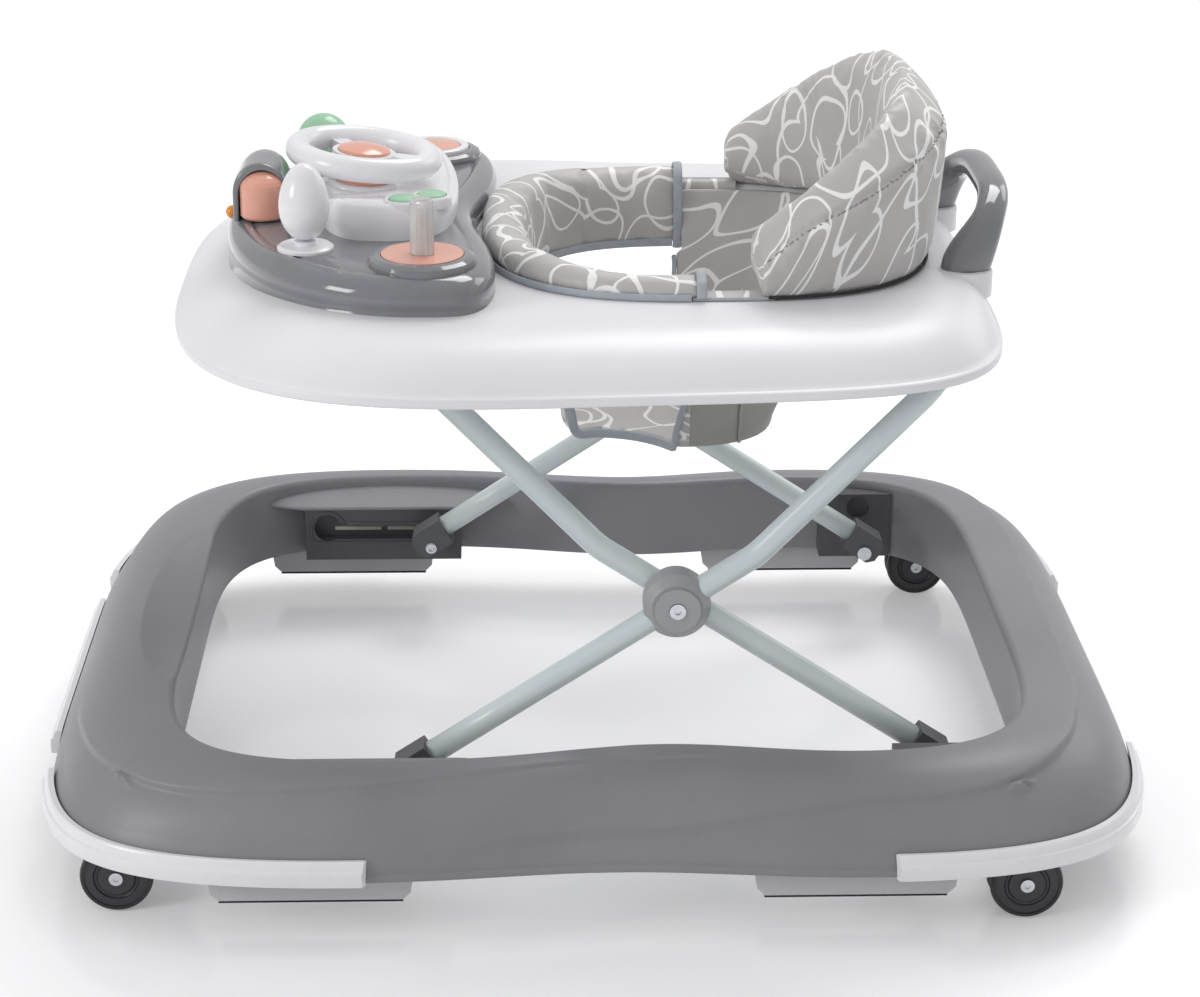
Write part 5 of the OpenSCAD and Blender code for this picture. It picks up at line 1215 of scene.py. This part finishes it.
def buildSling():
    source, rows = bagForm("bagForm", 4.4)
    sling = addObject("seatSling", source.data.copy())
    for side in (-1, 1):
        cutAway(sling, prism("legCut", legOutline(side), 200, 420))
    fold = seat["fold"] - 0.6
    cutAway(sling, prism("foldCut", [(-100, -200), (70, -200), (70, 200), (-100, 200)], fold, 420))
    remesh = sling.modifiers.new("remesh", "REMESH")
    remesh.mode, remesh.voxel_size = "VOXEL", 0.0021
    smooth = sling.modifiers.new("smooth", "SMOOTH")
    smooth.factor, smooth.iterations = 0.5, 4
    sling.data = finalMesh(sling)
    sling.modifiers.clear()

    def sag(p):  # slack cloth: soft hollows in the walls, a dished seat and drawn-in edges along the leg openings
        f = np.clip(slingShare(p[:, 2]), 0, 1)
        f = f * f * (3 - 2 * f)
        middle = np.column_stack([between(seat["floorX"], tray["holeCentre"], f), np.zeros(len(p)), p[:, 2]])
        away = p - middle
        r = np.hypot(away[:, 0], away[:, 1])[:, None]
        a = np.arctan2(away[:, 1], away[:, 0])
        wall = smoothStep(p[:, 2], 256, 285) * (1 - smoothStep(p[:, 2], 350, 372))
        folds = (0.9 * np.sin(a * 11 + 0.02 * p[:, 2]) + 0.6 * np.sin(a * 23 + 1.3 - 0.03 * p[:, 2])) * wall
        p = p - away / np.maximum(r, 1) * (0.6 + 0.5 * folds)[:, None] * wall[:, None]
        dish = np.exp(-((p[:, 0] - 40) / 46) ** 2 - (p[:, 1] / 46) ** 2)
        p[:, 2] += 1.6 * (1 - dish) * (1 - smoothStep(p[:, 2], 254, 262))
        edge = bell(np.abs(np.abs(p[:, 1]) - 42), 0, 7) * (p[:, 0] < 20) * (1 - smoothStep(p[:, 2], 254, 262))
        p[:, 2] += 0.9 * np.sin(p[:, 0] / 5.5 + 0.8 * np.sin(p[:, 0] / 13)) * edge
        return p

    clothMap(sling, source, gridUv(rows))
    seatUv = sling.data.uv_layers["cloth"].data
    for corner, uv in zip(sling.data.loops, seatUv):  # the flat seat panel is cut in one piece of its own
        x, y, z = sling.data.vertices[corner.vertex_index].co * 1000
        if z < 254.5:
            uv.uv = (x + 620, y + 340)
    reshapePoints(sling, sag)
    bpy.data.objects.remove(source)
    mesh = sling.data
    coverWith(sling, seatPrint, lining)
    for face in mesh.polygons:  # plain lining outside, behind the leg openings
        c, n = face.center, face.normal
        face.material_index = int(c.x > 0.0655 and (n.x * (c.x - 0.066) + n.y * c.y > 0 or n.z < -0.5))
    mesh.polygons.foreach_set("use_smooth", [True] * len(mesh.polygons))
    ridesOn(sling, "tray", ["seat_sling"])
    for side, name in ((-1, "Left"), (1, "Right")):  # binding round each leg opening
        path, outward = [], []
        inner = seat["legAt"] - seat["legHole"]
        for z in np.linspace(seat["fold"] - 4, 252, 24):
            ring = slingRing(slingShare(z), 2.8, 900)
            ring = ring[(ring[:, 0] < 20) & (ring[:, 1] * side > 0)]
            spot = ring[np.abs(np.abs(ring[:, 1]) - inner).argmin()]
            path.append([spot[0], side * inner, z])
            outward.append([0, side, 0])
        x0 = path[-1][0]
        for x in np.linspace(x0 + 3, 0, 16):
            path.append([x, side * inner, 249.6 + 0.8 * math.sin(x / 5.5)])
            outward.append([0, side, 0])
        for a in np.linspace(0.06, 1.03, 20):
            path.append([seat["legHole"] * math.sin(a), side * (seat["legAt"] - seat["legHole"] * math.cos(a)), 249.8])
            outward.append([-math.sin(a), side * math.cos(a), 0])
        for z in np.linspace(254, seat["fold"] - 3, 24):
            ring = slingRing(slingShare(z), 2.8, 1800)
            ring = ring[(ring[:, 0] > 30) & (ring[:, 1] * side > 0)]
            off = np.abs(np.hypot(ring[:, 0], np.abs(ring[:, 1]) - seat["legAt"]) - seat["legHole"])
            spot = ring[off.argmin() if off.min() < 3 else np.abs(ring[:, 0] - seat["legHole"]).argmin()]
            path.append([spot[0], spot[1], z])
            a = math.atan2(spot[0], seat["legAt"] - abs(spot[1]))
            outward.append([-math.sin(a), side * math.cos(a) * 0.4, 0])
        run = runAlong(path)
        path, outward = (eased(sampled(np.array(line), run / run[-1], np.linspace(0, 1, 200)), 6)
                         for line in (path, outward))
        tapeStrip("legBinding" + name, path, outward, 6.4, 2.2)
    # Flat seam and bound edge on the near and far walls of the lining
    for name, x, cut in (("Seam", 101.0, (2.6, 0.8, lining)), ("Rear", 137.0, (6.0, 1.3, tape))):
        for side, hand in ((-1, "Left"), (1, "Right")):
            path, outward = [], []
            for z in np.linspace(251, 340, 40):
                ring = slingRing(slingShare(z), 0.4, 1200)
                ring = ring[ring[:, 1] * side > 0]
                off = np.abs(ring[:, 0] - x)
                spot = ring[ring[:, 0].argmax() if off.min() > 3 else off.argmin()]
                path.append([spot[0], spot[1], z])
                outward.append([spot[0] - 66, spot[1], 0])
            tapeStrip("lining" + name + hand, eased(np.array(path), 4), outward, *cut)


buildBand()
print("front band made")
buildBackrest()
foldOver("panelFoldRight", math.radians(82), math.radians(92.5))
foldOver("panelFoldLeft", -math.radians(92.5), -math.radians(82))
print("backrest made")
buildSling()
print("sling made")

stage = {
    "floorColour": "#f3f3f5", "worldColour": "#fdfdfd", "worldLevel": 0.69,
    "cameraAt": (-0.05342, -1.93121, 0.91875), "lens": 86.85, "down": 20.7947, "yaw": 1.8217, "roll": 0.2742,
    "lamps": {  # place, aim, size in metres and watts
        "overhead": ((0.6, 1.3, 2.3), (0, 0, 0.1), 1.2, 24),
        "frontLeft": ((-2.4, -1.4, 1.3), (0, 0, 0.1), 0.9, 20),
        "backRight": ((1.8, 1.6, 1.4), (0.1, 0, 0.3), 1.0, 5),
    },
}


def buildStage():
    points = [(-6000, -6000, 0), (6000, -6000, 0), (6000, 9000, 0), (-6000, 9000, 0)]
    material, tree, shader, where = startMaterial("paintedFloor", stage["floorColour"], 0.13, IOR=1.45)
    floor = makeMesh("floor", points, [(0, 1, 2, 3)], material)
    fade = addNode(tree, "ShaderNodeSeparateXYZ", {}, {0: where})
    glow = addNode(tree, "ShaderNodeMapRange", {},
                   {"Value": fade.outputs[1], "From Min": -0.3, "From Max": 1.2, "To Min": 0.2, "To Max": 0.34})
    seen = addNode(tree, "ShaderNodeLightPath")
    straight = addNode(tree, "ShaderNodeMath", {"operation": "MAXIMUM"},
                       {0: seen.outputs["Is Camera Ray"], 1: seen.outputs["Is Glossy Ray"]})
    anySight = addNode(tree, "ShaderNodeMath", {"operation": "MAXIMUM"},
                       {0: straight.outputs[0], 1: seen.outputs["Is Transmission Ray"]})
    lift = addNode(tree, "ShaderNodeMath", {"operation": "MULTIPLY"},
                   {0: anySight.outputs[0], 1: glow.outputs["Result"]})
    shader.inputs["Emission Color"].default_value = (1, 1, 1, 1)
    tree.links.new(lift.outputs[0], shader.inputs["Emission Strength"])


def areaLight(name, at, aim, size, power):
    lamp = bpy.data.lights.new(name, "AREA")
    lamp.shape, lamp.size, lamp.energy = "SQUARE", size, power
    holder = addObject(name, lamp)
    holder.location = at
    holder.rotation_euler = (Vector(aim) - Vector(at)).to_track_quat("-Z", "Y").to_euler()


def buildLight():
    world = bpy.data.worlds.new("studio")
    scene.world = world
    world.use_nodes = True
    world.node_tree.nodes["Background"].inputs["Color"].default_value = linearFrom(stage["worldColour"])
    world.node_tree.nodes["Background"].inputs["Strength"].default_value = stage["worldLevel"]
    for name, (at, aim, size, power) in stage["lamps"].items():
        areaLight(name, at, aim, size, power)


def buildCamera():
    camera = bpy.data.cameras.new("camera")
    holder = addObject("camera", camera)
    camera.lens, camera.sensor_width, camera.sensor_fit = stage["lens"], 36.0, "HORIZONTAL"
    camera.clip_end = 50
    holder.location = stage["cameraAt"]
    down, yaw, roll = (math.radians(stage[key]) for key in ("down", "yaw", "roll"))
    forward = Vector((math.sin(yaw) * math.cos(down), math.cos(yaw) * math.cos(down), -math.sin(down)))
    right = Vector((math.cos(yaw), -math.sin(yaw), 0))
    up = right.cross(forward)
    right, up = math.cos(roll) * right + math.sin(roll) * up, -math.sin(roll) * right + math.cos(roll) * up
    holder.rotation_euler = Matrix((right, up, -forward)).transposed().to_euler()
    scene.camera = holder


buildStage()
buildLight()
buildCamera()
scene.view_settings.view_transform = "Standard"
print("stage, light and camera set")

bpy.context.view_layer.update()
